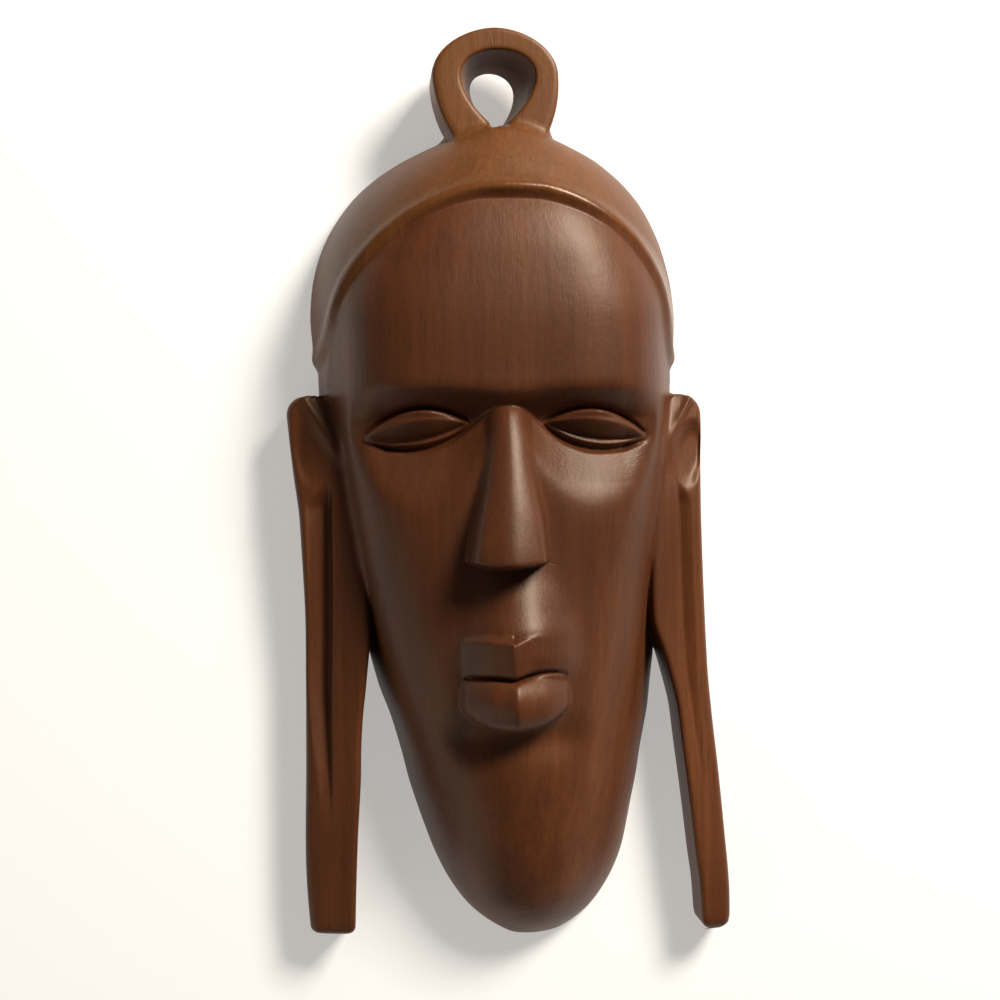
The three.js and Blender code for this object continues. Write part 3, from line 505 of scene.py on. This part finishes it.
def carved_front(s, y, side, plain):
    """The front's height with everything carved on it, from its plain height."""
    z = plain - socket(s, y) + np.where(y < BROW, eye(s, y), 0)
    z = soft_max(z, mound(side * s, y), MOUND_BLEND)
    under_lip = hump((y - UNDER_LIP) / UNDER_LIP_HALF_HEIGHT) * (1 - smoothstep(s, *UNDER_LIP_ENDS))
    z -= UNDER_LIP_DEPTH * under_lip
    z = soft_max(z, nose(s, y), CARVED_EDGE)
    z = soft_max(z, np.maximum(upper_lip(s, y, side), lower_lip(s, y, side)), CARVED_EDGE)
    in_mouth = np.sqrt(np.maximum(0, 1 - (s / of_side(LIP_HALF_WIDTH, side)) ** 2))
    return z - MOUTH_GROOVE * in_mouth * hump((y - mouth_line(s, side)) / MOUTH_GROOVE_WIDTH)


def cap_edge(turn):
    """The height of the cap's edge, where turn is 0 in the middle of the front and 1 or -1 behind."""
    return CAP_EDGE - cap_drop(np.abs(turn - CAP_PEAK_TURN * (1 - turn * turn)))


def head_middle(y, z):
    """The middle line at a height z off the back."""
    return back_middle(y) + (front_middle(y) - back_middle(y)) * smoothstep(z / depth(y), 0, 1)


def head_points():
    """The outer surface over rows along the mask and turns round it from -1 to 1. A section is a squared
    ellipse, its radius ((sin/width)^n + (cos/depth)^n)^(-1/n), narrowed to the front by SIDE_SLOPE."""
    half = stretches(HEAD_COLUMNS) / 90
    turn = np.concatenate([-half[:0:-1], half])[None, :]
    row = stretches(HEAD_ROWS)[:, None]
    edge = cap_edge(turn)
    bend = np.clip((row - CAP_ROWS_FROM) / (CAP_EDGE - CAP_ROWS_FROM), 0, 1)
    below = row + (edge - CAP_EDGE) * bend
    above = row + (edge - CAP_EDGE) * (1 - (row - CAP_EDGE) / (CROWN - CAP_EDGE))
    y = np.where(row <= CAP_EDGE, below, above)
    angle = np.abs(turn) * math.pi / 2
    sine, cosine = np.sin(angle), np.maximum(0, np.cos(angle))
    w, d, n = half_width(y), depth(y), squareness(y)
    radius = ((sine / w) ** n + (cosine / d) ** n) ** (-1 / n)
    # Distance from the cap's edge, measured square to it along the surface
    sideways = np.gradient(radius * sine * np.sign(turn), axis=1)
    girth = np.hypot(sideways, np.gradient(radius * cosine, axis=1))
    steep = np.gradient(edge, axis=1) / girth
    over = (y - edge) / np.sqrt(1 + steep ** 2)
    share = soft_ramp((over + CAP_STEP) / CAP_STEP, CAP_STEP_ROUND[0])
    rise = 1 - soft_ramp(1 - share, CAP_STEP_ROUND[1])
    bead = CAP_BEAD * hump((over - CAP_BEAD_AT) / CAP_BEAD_WIDTH)
    thickness = CAP_FRONT + (CAP_SIDE - CAP_FRONT) * np.abs(turn)
    proud = thickness * (np.maximum(0, rise) + bead / CAP_FRONT)
    reach = radius + proud
    up = reach * cosine
    s = reach * sine * (1 - SIDE_SLOPE * up / d)
    plain = up * (1 - FRONT_BOW / d * (s / BOW_HALF_WIDTH) ** 2)
    fade = 1 - smoothstep(y, BROW_EDGE + BROW_FADE[0], BROW_EDGE + BROW_FADE[1])
    front = smoothstep(up / d, *FRONT_BAND) * fade
    z = plain + front * (carved_front(s, y, np.sign(turn), plain) - plain)
    z = np.where(np.abs(turn) == 1, -BACK_CUT, z)
    return np.stack([np.sign(turn) * s + head_middle(y, z), y, z], axis=-1)


def hollow_points():
    """The hollow, as the outer section less the wall, closing in round ends: its size along a run from
    -1 to 1 is (1 - |along|^3)^(1/2.4) of the full one."""
    arc = np.linspace(*HOLLOW_ARC, HOLLOW_ROWS + 1)[:, None]
    along = -np.cos(arc * math.pi) / math.cos(HOLLOW_ARC_END * math.pi)
    y = HOLLOW_BOTTOM + (HOLLOW_TOP - HOLLOW_BOTTOM) * (along + 1) / 2
    power, root = HOLLOW_CLOSING
    closing = (1 - np.abs(along) ** power) ** (1 / root)
    w = (half_width(y) - WALL) * closing
    d = depth(y) * HOLLOW_DEPTH * closing
    angle = np.linspace(math.pi, 0, HOLLOW_COLUMNS + 1)[None, :]
    n = HOLLOW_SQUARENESS
    sine = np.maximum(0, np.sin(angle))
    radius = (np.abs(np.cos(angle) / w) ** n + (sine / d) ** n) ** (-1 / n)
    z = radius * sine
    z[:, [0, -1]] = -2 * BACK_CUT
    x = radius * np.cos(angle) * (1 - SIDE_SLOPE * z / d) + head_middle(y, z)
    return np.stack([x, y + 0 * x, z], axis=-1)


def ear_relief(s, y, wall, side):
    """The carving of the ear and its lobe at a distance s from the middle: a slanting fold as a hump, a
    pocket beside it, an oval bowl that falls to its upper end, and a groove steepest at its wall."""
    share = np.clip((FOLD_TOP[1] - y) / (FOLD_TOP[1] - FOLD_FOOT[1]), 0, 1)
    fold = s - (FOLD_TOP[0] + (FOLD_FOOT[0] - FOLD_TOP[0]) * share)
    in_ear = smoothstep(y, FOLD_FOOT[1] + FOLD_FOOT_FADE[0], FOLD_FOOT[1] + FOLD_FOOT_FADE[1])
    ridge = FOLD_HEIGHT * hump(fold / of_side(FOLD_HALF_WIDTH, side)) * in_ear
    pocket = EAR_POCKET * smoothstep(-fold, 0, EAR_POCKET_WIDTH) * in_ear
    bx = (s - BOWL_X - BOWL_SLANT * (y - BOWL_Y)) / BOWL_HALF_WIDTH
    by = (y - BOWL_Y) / BOWL_HALF_HEIGHT
    falling = 1 - (0.5 - 0.5 * np.clip(by, -1, 1)) ** 2 + BOWL_DEPTH_ACROSS * np.clip(bx, -1, 1)
    in_bowl = smoothstep(1 - bx * bx - by * by, 0, BOWL_EDGE)
    bowl = of_side(BOWL_DEPTH, side) * np.maximum(0, falling) * in_bowl
    from_head = smoothstep(s, EAR_FILLET_FROM, EAR_FILLET_FROM + EAR_FILLET_WIDTH)
    fillet = EAR_FILLET * (1 - from_head) * in_ear
    start, end = GROOVE_START, wall[0][0]
    started = smoothstep(y, start + GROOVE_START_FADE[0], start + GROOVE_START_FADE[1])
    run = smoothstep(y, end, end + GROOVE_FADE) * (1 - started)
    across = s - curve(wall)(y)
    width = of_side(GROOVE_WIDTH, side) * (GROOVE_NARROWEST + (1 - GROOVE_NARROWEST) * run)
    shape = 1 - np.maximum(0, across / width) ** of_side(GROOVE_CURVE, side)
    wall_share = smoothstep(across, GROOVE_WALL_EDGE, GROOVE_SLOPE)
    groove = of_side(GROOVE_DEPTH, side) * run * soft_ramp(shape, GROOVE_ROUND) * wall_share
    return ridge + fillet - pocket - bowl - groove


def ear_points(side, outer, inner, wall, end):
    """An ear with its lobe, as sections from the free end up: side is -1 on the left, 1 on the right.
    A section is a box with quarter-round front edges, and the relief is added to its front."""
    bottom, rounding = end
    y = bottom + (EAR_TOP - bottom) * stretches(EAR_ROWS)[:, None]
    to_end = np.maximum(0, rounding - (y - bottom))
    shrink = rounding - np.sqrt(rounding ** 2 - to_end ** 2)
    to_top = np.maximum(0, EAR_CORNER - (EAR_TOP - y))
    corner = EAR_CORNER - np.sqrt(EAR_CORNER ** 2 - to_top ** 2)
    outer = curve(outer)(y) - shrink - corner
    near = curve(inner)(y) + shrink
    top = ear_thickness(y) - shrink
    quarter = np.linspace(0, math.pi / 2, LOBE_ROUNDING_STEPS)[None, :]
    r = LOBE_ROUNDING
    line = np.clip(curve(wall)(y), near + r + WALL_MARGINS[0], outer - r - WALL_MARGINS[1])
    first, last = line + WALL_COLUMNS[0], line + WALL_COLUMNS[-1]
    inside = np.linspace(0, 1, COLUMNS_INSIDE_WALL + 1)[None, 1:-1]
    outside = np.linspace(0, 1, COLUMNS_OUTSIDE_WALL + 1)[None, 1:-1]
    near_s, near_z = near + r * (1 - np.cos(quarter)), top - r * (1 - np.sin(quarter))
    far_s = outer - r * (1 - np.cos(quarter[:, ::-1]))
    far_z = top - r * (1 - np.sin(quarter[:, ::-1]))
    mid_s = np.concatenate([
        near + r + (first - near - r) * inside,
        line + np.array([WALL_COLUMNS]),
        last + (outer - r - last) * outside,
    ], axis=1)
    s = np.concatenate([near, near_s, mid_s, far_s, outer], axis=1)
    behind = 0 * near - BACK_CUT
    z = np.concatenate([behind, near_z, top + 0 * mid_s, far_z, behind], axis=1)
    z[:, 1:-1] += ear_relief(s, y, wall, side)[:, 1:-1] * smoothstep(z[:, 1:-1] - top, -r, 0)
    z[:, 1:-1] -= of_side(LOBE_TILT, side) * (s[:, 1:-1] - LOBE_TILT_FROM)
    points = np.stack([side * s + lobe_middle(y), y + 0 * s, z], axis=-1)
    return points if side > 0 else points[:, ::-1]


def teardrop(hole, t):
    """A teardrop hole's edge, pointed at the bottom: across as sin(t) sin(t / 2), up as -cos(t)."""
    x, middle, half, half_height, slant = hole
    rise = -half_height * np.cos(t)
    across = half * np.sin(t) * np.sin(t / 2) / TEARDROP_WIDEST
    return np.stack([x + across - slant * rise, middle + rise], -1)


def loop_points():
    """The loop as sections round its hole: each place is a share of the way from the outside to the
    hole, at a share of the height. The outside is an ellipse that is longer below its widest line."""
    t = np.linspace(0, 2 * math.pi, LOOP_STEPS, endpoint=False)
    up = -np.cos(t)
    outer_y = LOOP_WIDEST + up * np.where(up > 0, LOOP_RISE, LOOP_FALL)
    wide = np.sign(np.sin(t)) * np.abs(np.sin(t)) ** np.where(up > 0, LOOP_SHARPNESS, 1)
    outer_x = LOOP_X + LOOP_HALF_WIDTH * wide + LOOP_LEAN * np.maximum(0, LOOP_WIDEST - outer_y)
    outer = np.stack([outer_x, outer_y], -1)
    front, back = teardrop(HOLE_FRONT, t), teardrop(HOLE_BACK, t)
    rings = []
    for place, share, height in LOOP_SECTION:
        between = back + (front - back) * (height - HOLE_FLARE_FROM) / HOLE_FLARE_SPAN
        hole = {"back": back, "front": front, "between": between}[place]
        flat = outer + (hole - outer) * share
        z = np.full(LOOP_STEPS, LOOP_BACK + (LOOP_FRONT - LOOP_BACK) * height)
        rings.append(np.column_stack([flat, z]))
    return np.stack(rings, axis=1)


def build(name, points, kind, round_ends=False):
    """A closed mesh through rings of points: fans close its ends, or the last ring joins the first."""
    rows, n = points.shape[:2]
    r, i = np.meshgrid(np.arange(rows if round_ends else rows - 1), np.arange(n), indexing="ij")
    q, j = (r + 1) % rows, (i + 1) % n
    quads = np.stack([r * n + i, r * n + j, q * n + j, q * n + i], axis=-1).reshape(-1, 4)
    corners = points.reshape(-1, 3)
    faces = quads.tolist()
    if not round_ends:
        first, last = rows * n, rows * n + 1
        corners = np.vstack([corners, points[0].mean(0), points[-1].mean(0)])
        k = np.arange(n)
        faces += np.stack([0 * k + first, (k + 1) % n, k], axis=-1).tolist()
        faces += np.stack([0 * k + last, last - 1 - n + k, last - 1 - n + (k + 1) % n], axis=-1).tolist()
    mesh = bpy.data.meshes.new(name)
    mesh.from_pydata((corners * MM).tolist(), [], faces)
    mesh.polygons.foreach_set("material_index", np.full(len(faces), kind, np.int32))
    for _ in range(BACK + 1):
        mesh.materials.append(None)
    thing = bpy.data.objects.new(name, mesh)
    bpy.context.scene.collection.objects.link(thing)
    return thing


def join_or_cut(base, other, operation):
    """Unites the two closed meshes, or cuts the second from the first, and removes the second."""
    step = base.modifiers.new("step", "BOOLEAN")
    step.operation = operation
    step.object = other
    step.solver = "MANIFOLD"
    shape = bpy.data.meshes.new_from_object(base.evaluated_get(bpy.context.evaluated_depsgraph_get()))
    base.modifiers.clear()
    base.data = shape
    bpy.data.objects.remove(other)


def back_block():
    """A slab behind the mask that cuts the back off flat."""
    edge = SLAB_HALF * np.array([(-1, -1), (1, -1), (1, 1), (-1, 1)], float)
    rings = [np.column_stack([edge, np.full(4, z)]) for z in (SLAB_BACK, 0.0)]
    return build("slab", np.stack(rings), BACK)


def ease_joints(mesh, rounds):
    """Smooths the surface near the lines where head, ears and loop meet: each round moves a corner
    towards the mean of its neighbours by the share 1 - distance / reach."""
    count = len(mesh.vertices)
    place = np.empty(count * 3)
    mesh.vertices.foreach_get("co", place)
    place = place.reshape(-1, 3) / MM
    edges = np.empty(len(mesh.edges) * 2, np.int64)
    mesh.edges.foreach_get("vertices", edges)
    a, b = edges.reshape(-1, 2).T
    kinds = np.empty(len(mesh.polygons), np.int64)
    mesh.polygons.foreach_get("material_index", kinds)
    totals = np.empty(len(mesh.polygons), np.int64)
    mesh.polygons.foreach_get("loop_total", totals)
    corners = np.empty(len(mesh.loops), np.int64)
    mesh.loops.foreach_get("vertex_index", corners)
    owner = np.repeat(kinds, totals)
    touched = [np.bincount(corners[owner == kind], minlength=count) > 0 for kind in (HEAD, EAR, LOOP)]
    distance = np.where(sum(t.astype(int) for t in touched) > 1, 0.0, FAR_AWAY)
    length = np.linalg.norm(place[a] - place[b], axis=1)
    for _ in range(JOINT_SPREAD):
        np.minimum.at(distance, a, distance[b] + length)
        np.minimum.at(distance, b, distance[a] + length)
    by_ear = smoothstep(place[:, 1], *EAR_JOINT_FROM)
    reach = JOINT_REACH + (EAR_JOINT_REACH - JOINT_REACH) * by_ear
    reach = np.where(place[:, 1] > EAR_TOP + ABOVE_EARS, JOINT_REACH, reach)
    weight = np.clip(1 - distance / reach, 0, 1)
    weight[place[:, 2] < BACK_MARGIN] = 0
    neighbours = np.maximum(1, np.bincount(edges, minlength=count))[:, None]
    for _ in range(rounds):
        total = np.zeros_like(place)
        np.add.at(total, a, place[b])
        np.add.at(total, b, place[a])
        place += EASE_SHARE * weight[:, None] * (total / neighbours - place)
    mesh.vertices.foreach_set("co", (place * MM).ravel())
    mesh.update()


def carve_mask():
    """The whole mask in one mesh: head, ears and loop joined, the hollow and the back cut off."""
    mask = build("mask_carved", head_points(), HEAD)
    left = ear_points(-1, LOBE_OUTER_LEFT, LOBE_INNER_LEFT, GROOVE_WALL_LEFT, LOBE_END_LEFT)
    right = ear_points(1, LOBE_OUTER_RIGHT, LOBE_INNER_RIGHT, GROOVE_WALL_RIGHT, LOBE_END_RIGHT)
    join_or_cut(mask, build("left_ear", left, EAR), "UNION")
    join_or_cut(mask, build("right_ear", right, EAR), "UNION")
    join_or_cut(mask, build("loop", loop_points()[:, ::-1], LOOP, round_ends=True), "UNION")
    join_or_cut(mask, build("hollow", hollow_points(), HOLLOW), "DIFFERENCE")
    join_or_cut(mask, back_block(), "DIFFERENCE")
    ease_joints(mask.data, EASE_ROUNDS)
    work = bmesh.new()
    work.from_mesh(mask.data)
    bmesh.ops.remove_doubles(work, verts=work.verts, dist=MERGE_DISTANCE * MM)
    bmesh.ops.recalc_face_normals(work, faces=work.faces)
    work.to_mesh(mask.data)
    work.free()
    place = np.empty(len(mask.data.vertices) * 3)
    mask.data.vertices.foreach_get("co", place)
    place = place.reshape(-1, 3)
    place[:, :2] -= np.array(MIDDLE) * MM
    mask.data.vertices.foreach_set("co", place.ravel())
    mask.data.materials.clear()
    mask.data.polygons.foreach_set("material_index", np.zeros(len(mask.data.polygons), np.int32))
    mask.data.polygons.foreach_set("use_smooth", np.ones(len(mask.data.polygons), bool))
    mask.data.update()
    mask.data.set_sharp_from_angle(angle=SHARP_FROM)
    return mask


class Value:
    """A socket of the material's nodes, on which +, -, * and / add Math nodes."""

    def __init__(self, maker, socket):
        self.maker = maker
        self.socket = socket

    def with_math(self, operation, first, second):
        return self.maker.node("ShaderNodeMath", {"operation": operation}, {0: first, 1: second})

    def __add__(self, other):
        return self.with_math("ADD", self, other)

    def __radd__(self, other):
        return self.with_math("ADD", other, self)

    def __sub__(self, other):
        return self.with_math("SUBTRACT", self, other)

    def __rsub__(self, other):
        return self.with_math("SUBTRACT", other, self)

    def __mul__(self, other):
        return self.with_math("MULTIPLY", self, other)

    def __rmul__(self, other):
        return self.with_math("MULTIPLY", other, self)

    def __truediv__(self, other):
        return self.with_math("DIVIDE", self, other)


class Finish:
    """A material and its nodes."""

    def __init__(self, name):
        self.material = bpy.data.materials.new(name)
        self.material.use_nodes = True
        self.tree = self.material.node_tree
        self.shader = self.tree.nodes["Principled BSDF"]
        self.place = self.node("ShaderNodeTexCoord", output="Object")

    def node(self, kind, settings={}, inputs={}, output=0):
        """Adds a node of a type with its settings, then the values or links of its sockets."""
        made = self.tree.nodes.new(kind)
        for name, value in settings.items():
            if name == "stops":
                ramp = made.color_ramp.elements
                while len(ramp) < len(value):
                    ramp.new(0.5)
                for stop, (where, colour) in zip(ramp, value):
                    stop.position = where
                    stop.color = (*colour, 1)
            else:
                setattr(made, name, value)
        for name, value in inputs.items():
            self.put(made.inputs[name], value)
        return Value(self, made.outputs[output])

    def put(self, socket, value):
        if isinstance(value, Value):
            self.tree.links.new(value.socket, socket)
        else:
            socket.default_value = value

    def stretched(self, scale, offset=(0, 0, 0)):
        moved = self.node("ShaderNodeVectorMath", {"operation": "ADD"}, {0: self.place, 1: offset})
        return self.node("ShaderNodeVectorMath", {"operation": "MULTIPLY"}, {0: moved, 1: scale})

    def noise(self, scale, detail, rough=0.5, offset=(0, 0, 0)):
        place = self.stretched(scale, offset)
        inputs = {"Vector": place, "Scale": 1.0, "Detail": detail, "Roughness": rough}
        return self.node("ShaderNodeTexNoise", {}, inputs)

    def between(self, value, low, high):
        """0 at low and beyond it, 1 at high and beyond it, and smooth from one to the other."""
        settings = {"interpolation_type": "SMOOTHSTEP", "clamp": True}
        inputs = {"Value": value, "From Min": low, "From Max": high}
        return self.node("ShaderNodeMapRange", settings, inputs)

    def blend(self, share, first, second):
        settings = {"data_type": "RGBA"}
        return self.node("ShaderNodeMix", settings, {0: share, 6: first, 7: second}, output=2)

    def bump(self, height, strength, distance):
        inputs = {"Height": height, "Strength": strength, "Distance": distance}
        return self.node("ShaderNodeBump", {}, inputs)

    def absolute(self, value):
        return self.node("ShaderNodeMath", {"operation": "ABSOLUTE"}, {0: value})

    def part(self, axis):
        """One of the three object coordinates."""
        return self.node("ShaderNodeSeparateXYZ", {}, {0: self.place}, output=axis)

    def scratch(self, across, along, line):
        """1 on a straight line between two points and 0 beyond its half width."""
        x, y, end_x, end_y, half = line
        length = math.hypot(end_x - x, end_y - y)
        cosine, sine = (end_x - x) / length, (end_y - y) / length
        u, v = across - x, along - y
        past = self.absolute(u * cosine + v * sine - length / 2)
        beside = self.absolute(v * cosine - u * sine)
        return self.between(beside, half, 0.0) * self.between(past, length / 2, length / 2 - 2 * half)

    def oval(self, across, along, zone):
        """How far out of an oval a point lies, where 1 is on the oval; lengths in metres."""
        x, y, half_across, half_along = zone
        u, v = (across - x) / half_across, (along - y) / half_along
        return self.node("ShaderNodeMath", {"operation": "SQRT"}, {0: u * u + v * v})


# Scratches and nicks, as (x, y, x, y, half width) in metres
SCRATCHES = [
    (0.0400, -0.1124, 0.0440, -0.1136, 0.0005), (0.0324, -0.0494, 0.0372, -0.0598, 0.0003),
    (0.0029, -0.0535, 0.0054, -0.0564, 0.0005), (-0.0150, -0.0070, -0.0132, -0.0085, 0.0007),
    (-0.0022, -0.1540, -0.0003, -0.1560, 0.0005), (0.0107, -0.0270, 0.0144, -0.0278, 0.0005),
    (0.0119, -0.0673, 0.0174, -0.0733, 0.0004), (-0.0066, 0.1735, -0.0055, 0.1668, 0.0004),
]

# Zones of the surface, as (middle across, middle along, half width, half height) in metres
FACE_ZONE = (0.004, 0.01, 0.055, 0.085)
CAP_ZONE = (0, 0.040, 0.0705, 0.0705)
CHATTER_ZONE = (0.033, 0.0115, 0.024, 0.009)

# The cap's tone sets in between these heights
BROW_ZONE = (0.03, 0.05)

# Where each zone fades in, as (nothing at, full at), counted in the zone's own size
FACE_FADE = (1.7, 0.4)
CAP_FADE = (0.985, 1.01)
ROLL_FADE_IN = (0.985, 1.0)
ROLL_FADE_OUT = (1.09, 1.05)
CHATTER_FADE = (1.1, 0.5)
GRAIN_FADE = (0.35, 0.68)
PORE_FADE = (0.6, 0.72)

# The wood's tones, and how finely its figure is drawn across, along and through it, per metre
WOOD_TONES = [
    (0.25, (0.045, 0.0122, 0.0044)), (0.5, (0.094, 0.0265, 0.0074)), (0.8, (0.16, 0.051, 0.0135)),
]
FACE_TONE = (0.045, 0.012, 0.0045, 1)
FACE_SHARE = 0.55
CAP_TONE = (0.15, 0.058, 0.011, 1)
CAP_SHARE = 0.35
GRAIN_TONE = (0.03, 0.009, 0.0045, 1)
GRAIN_SHARE = 0.2
PORE_TONE = (0.03, 0.01, 0.006, 1)
PORE_SHARE = 0.5
PATCH_SCALE = (14, 9, 14)
STREAK_SCALE = (520, 16, 520)
BROAD_SCALE = (110, 5, 110)
PORE_SCALE = (1500, 55, 1500)
WORN_SCALE = (300, 220, 300)
CHATTER_SCALE = (700, 1500, 700)
RELIEF_STRENGTH = 0.12
RELIEF_HEIGHT = 0.0006

# The studio: the floor, the two lamps and the light all round
FLOOR_HALF = 3.0
FLOOR_TONE = (0.56, 0.55, 0.53, 1)
FLOOR_GLOW = (1, 0.98, 0.94, 1)
FLOOR_GLOW_STRENGTH = 0.42
LIT_POINT = (0, 0, 0.03)
KEY_PLACE = (0.68, 0.82, 0.86)
KEY_SIZE = (0.42, 0.42)
KEY_POWER = 37
KEY_COLOUR = (1, 0.95, 0.88)
FILL_PLACE = (-0.95, -0.75, 0.4)
FILL_SIZE = (1.0, 0.6)
FILL_POWER = 3
FILL_COLOUR = (1, 0.86, 0.7)
ROOM_LIGHT = 0.09

# The camera: straight over the mask but for a small turn and roll, and as wide a view as given
CAMERA_TURN = math.radians(4.5)
CAMERA_ROLL = math.radians(-0.6)
CAMERA_AWAY = 0.7
CAMERA_AIM_HEIGHT = 0.020
VIEW_WIDTH = 0.3863
SENSOR_WIDTH = 36


def waxed_hardwood():
    """Dark red-brown hardwood with upright grain under a satin wax."""
    wood = Finish("waxed_hardwood")
    patches = wood.noise(PATCH_SCALE, 2.0)
    streaks = wood.noise(STREAK_SCALE, 4.0, 0.6)
    broad = wood.noise(BROAD_SCALE, 3.0, 0.55, offset=(0.3, 0.1, 0.2))
    pores = wood.noise(PORE_SCALE, 2.0, 0.5, offset=(0.7, 0.2, 0.1))
    tone = 0.45 * patches + 0.55 * broad
    colour = wood.node("ShaderNodeValToRGB", {"stops": WOOD_TONES}, {"Fac": tone})
    across, along = wood.part("X"), wood.part("Y")
    on_face = wood.between(wood.oval(across, along, FACE_ZONE), *FACE_FADE)
    above_brow = wood.between(along, *BROW_ZONE)
    cap_reach = wood.oval(across, along, CAP_ZONE)
    on_cap = wood.between(cap_reach, *CAP_FADE) * above_brow
    on_roll = wood.between(cap_reach, *ROLL_FADE_IN) * wood.between(cap_reach, *ROLL_FADE_OUT)
    on_roll = on_roll * above_brow
    colour = wood.blend(FACE_SHARE * on_face, colour, FACE_TONE)
    colour = wood.blend(CAP_SHARE * on_cap, colour, CAP_TONE)
    grain = wood.between(streaks, *GRAIN_FADE)
    colour = wood.blend(GRAIN_SHARE * (1 - grain), colour, GRAIN_TONE)
    colour = wood.blend(PORE_SHARE * wood.between(pores, *PORE_FADE), colour, PORE_TONE)
    wood.put(wood.shader.inputs["Base Color"], colour)
    roughness = 0.39 + 0.09 * streaks + 0.07 * patches - 0.17 * on_roll
    wood.put(wood.shader.inputs["Roughness"], roughness)
    wood.shader.inputs["Specular IOR Level"].default_value = 0.32
    wood.shader.inputs["Specular Tint"].default_value = (1, 0.83, 0.66, 1)
    worn = wood.noise(WORN_SCALE, 4.0, 0.65, offset=(0.4, 0.6, 0.1))
    chatter = wood.noise(CHATTER_SCALE, 2.0, 0.6, offset=(0.2, 0.9, 0.5))
    in_chatter = wood.between(wood.oval(across, along, CHATTER_ZONE), *CHATTER_FADE)
    height = streaks + 0.5 * pores + 2 * worn + 14 * chatter * in_chatter
    for line in SCRATCHES:
        height = height - 5 * wood.scratch(across, along, line)
    wood.put(wood.shader.inputs["Normal"], wood.bump(height, RELIEF_STRENGTH, RELIEF_HEIGHT))
    wood.shader.inputs["Coat Weight"].default_value = 0.04
    wood.shader.inputs["Coat Roughness"].default_value = 0.28
    return wood.material


def pale_floor():
    """A wide pale square under the mask."""
    floor = Finish("pale_floor")
    floor.shader.inputs["Base Color"].default_value = FLOOR_TONE
    floor.shader.inputs["Roughness"].default_value = 0.9
    floor.shader.inputs["Emission Color"].default_value = FLOOR_GLOW
    floor.shader.inputs["Emission Strength"].default_value = FLOOR_GLOW_STRENGTH
    half = FLOOR_HALF
    corners = [(-half, -half, 0), (half, -half, 0), (half, half, 0), (-half, half, 0)]
    mesh = bpy.data.meshes.new("floor")
    mesh.from_pydata(corners, [], [(0, 1, 2, 3)])
    mesh.materials.append(floor.material)
    thing = bpy.data.objects.new("floor", mesh)
    bpy.context.scene.collection.objects.link(thing)


def area_light(name, place, size, power, colour):
    """A soft rectangular lamp that points at the mask."""
    lamp = bpy.data.lights.new(name, "AREA")
    lamp.shape = "RECTANGLE"
    lamp.size, lamp.size_y = size
    lamp.energy = power
    lamp.color = colour
    thing = bpy.data.objects.new(name, lamp)
    thing.location = place
    thing.rotation_euler = (Vector(LIT_POINT) - Vector(place)).to_track_quat("-Z", "Y").to_euler()
    bpy.context.scene.collection.objects.link(thing)


def photograph_camera():
    """Over the mask, a little to the viewer's left and slightly rolled."""
    over = Vector((-MIDDLE[0] * MM, -MIDDLE[1] * MM, CAMERA_AIM_HEIGHT))
    back = Vector((-math.sin(CAMERA_TURN), 0, math.cos(CAMERA_TURN)))
    right = (-back).cross(Vector((0, 1, 0))).normalized()
    up = right.cross(-back)
    across = math.cos(CAMERA_ROLL) * right + math.sin(CAMERA_ROLL) * up
    along = -math.sin(CAMERA_ROLL) * right + math.cos(CAMERA_ROLL) * up
    data = bpy.data.cameras.new("camera")
    data.sensor_width = SENSOR_WIDTH
    data.lens = SENSOR_WIDTH / 2 / (0.5 * VIEW_WIDTH / CAMERA_AWAY)
    data.clip_start = 0.05
    camera = bpy.data.objects.new("camera", data)
    place = over + back * CAMERA_AWAY
    camera.matrix_world = Matrix((
        (across.x, along.x, back.x, place.x),
        (across.y, along.y, back.y, place.y),
        (across.z, along.z, back.z, place.z),
        (0, 0, 0, 1),
    ))
    bpy.context.scene.collection.objects.link(camera)
    bpy.context.scene.camera = camera


photograph_camera()

mask = carve_mask()
mask.data.materials.append(waxed_hardwood())
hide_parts("mask")
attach(mask, "root")

pale_floor()
area_light("key", KEY_PLACE, KEY_SIZE, KEY_POWER, KEY_COLOUR)
area_light("left_fill", FILL_PLACE, FILL_SIZE, FILL_POWER, FILL_COLOUR)

world = bpy.data.worlds.new("studio")
world.use_nodes = True
world.node_tree.nodes["Background"].inputs["Color"].default_value = (1, 1, 1, 1)
world.node_tree.nodes["Background"].inputs["Strength"].default_value = ROOM_LIGHT
bpy.context.scene.world = world
bpy.context.scene.view_settings.view_transform = "Standard"
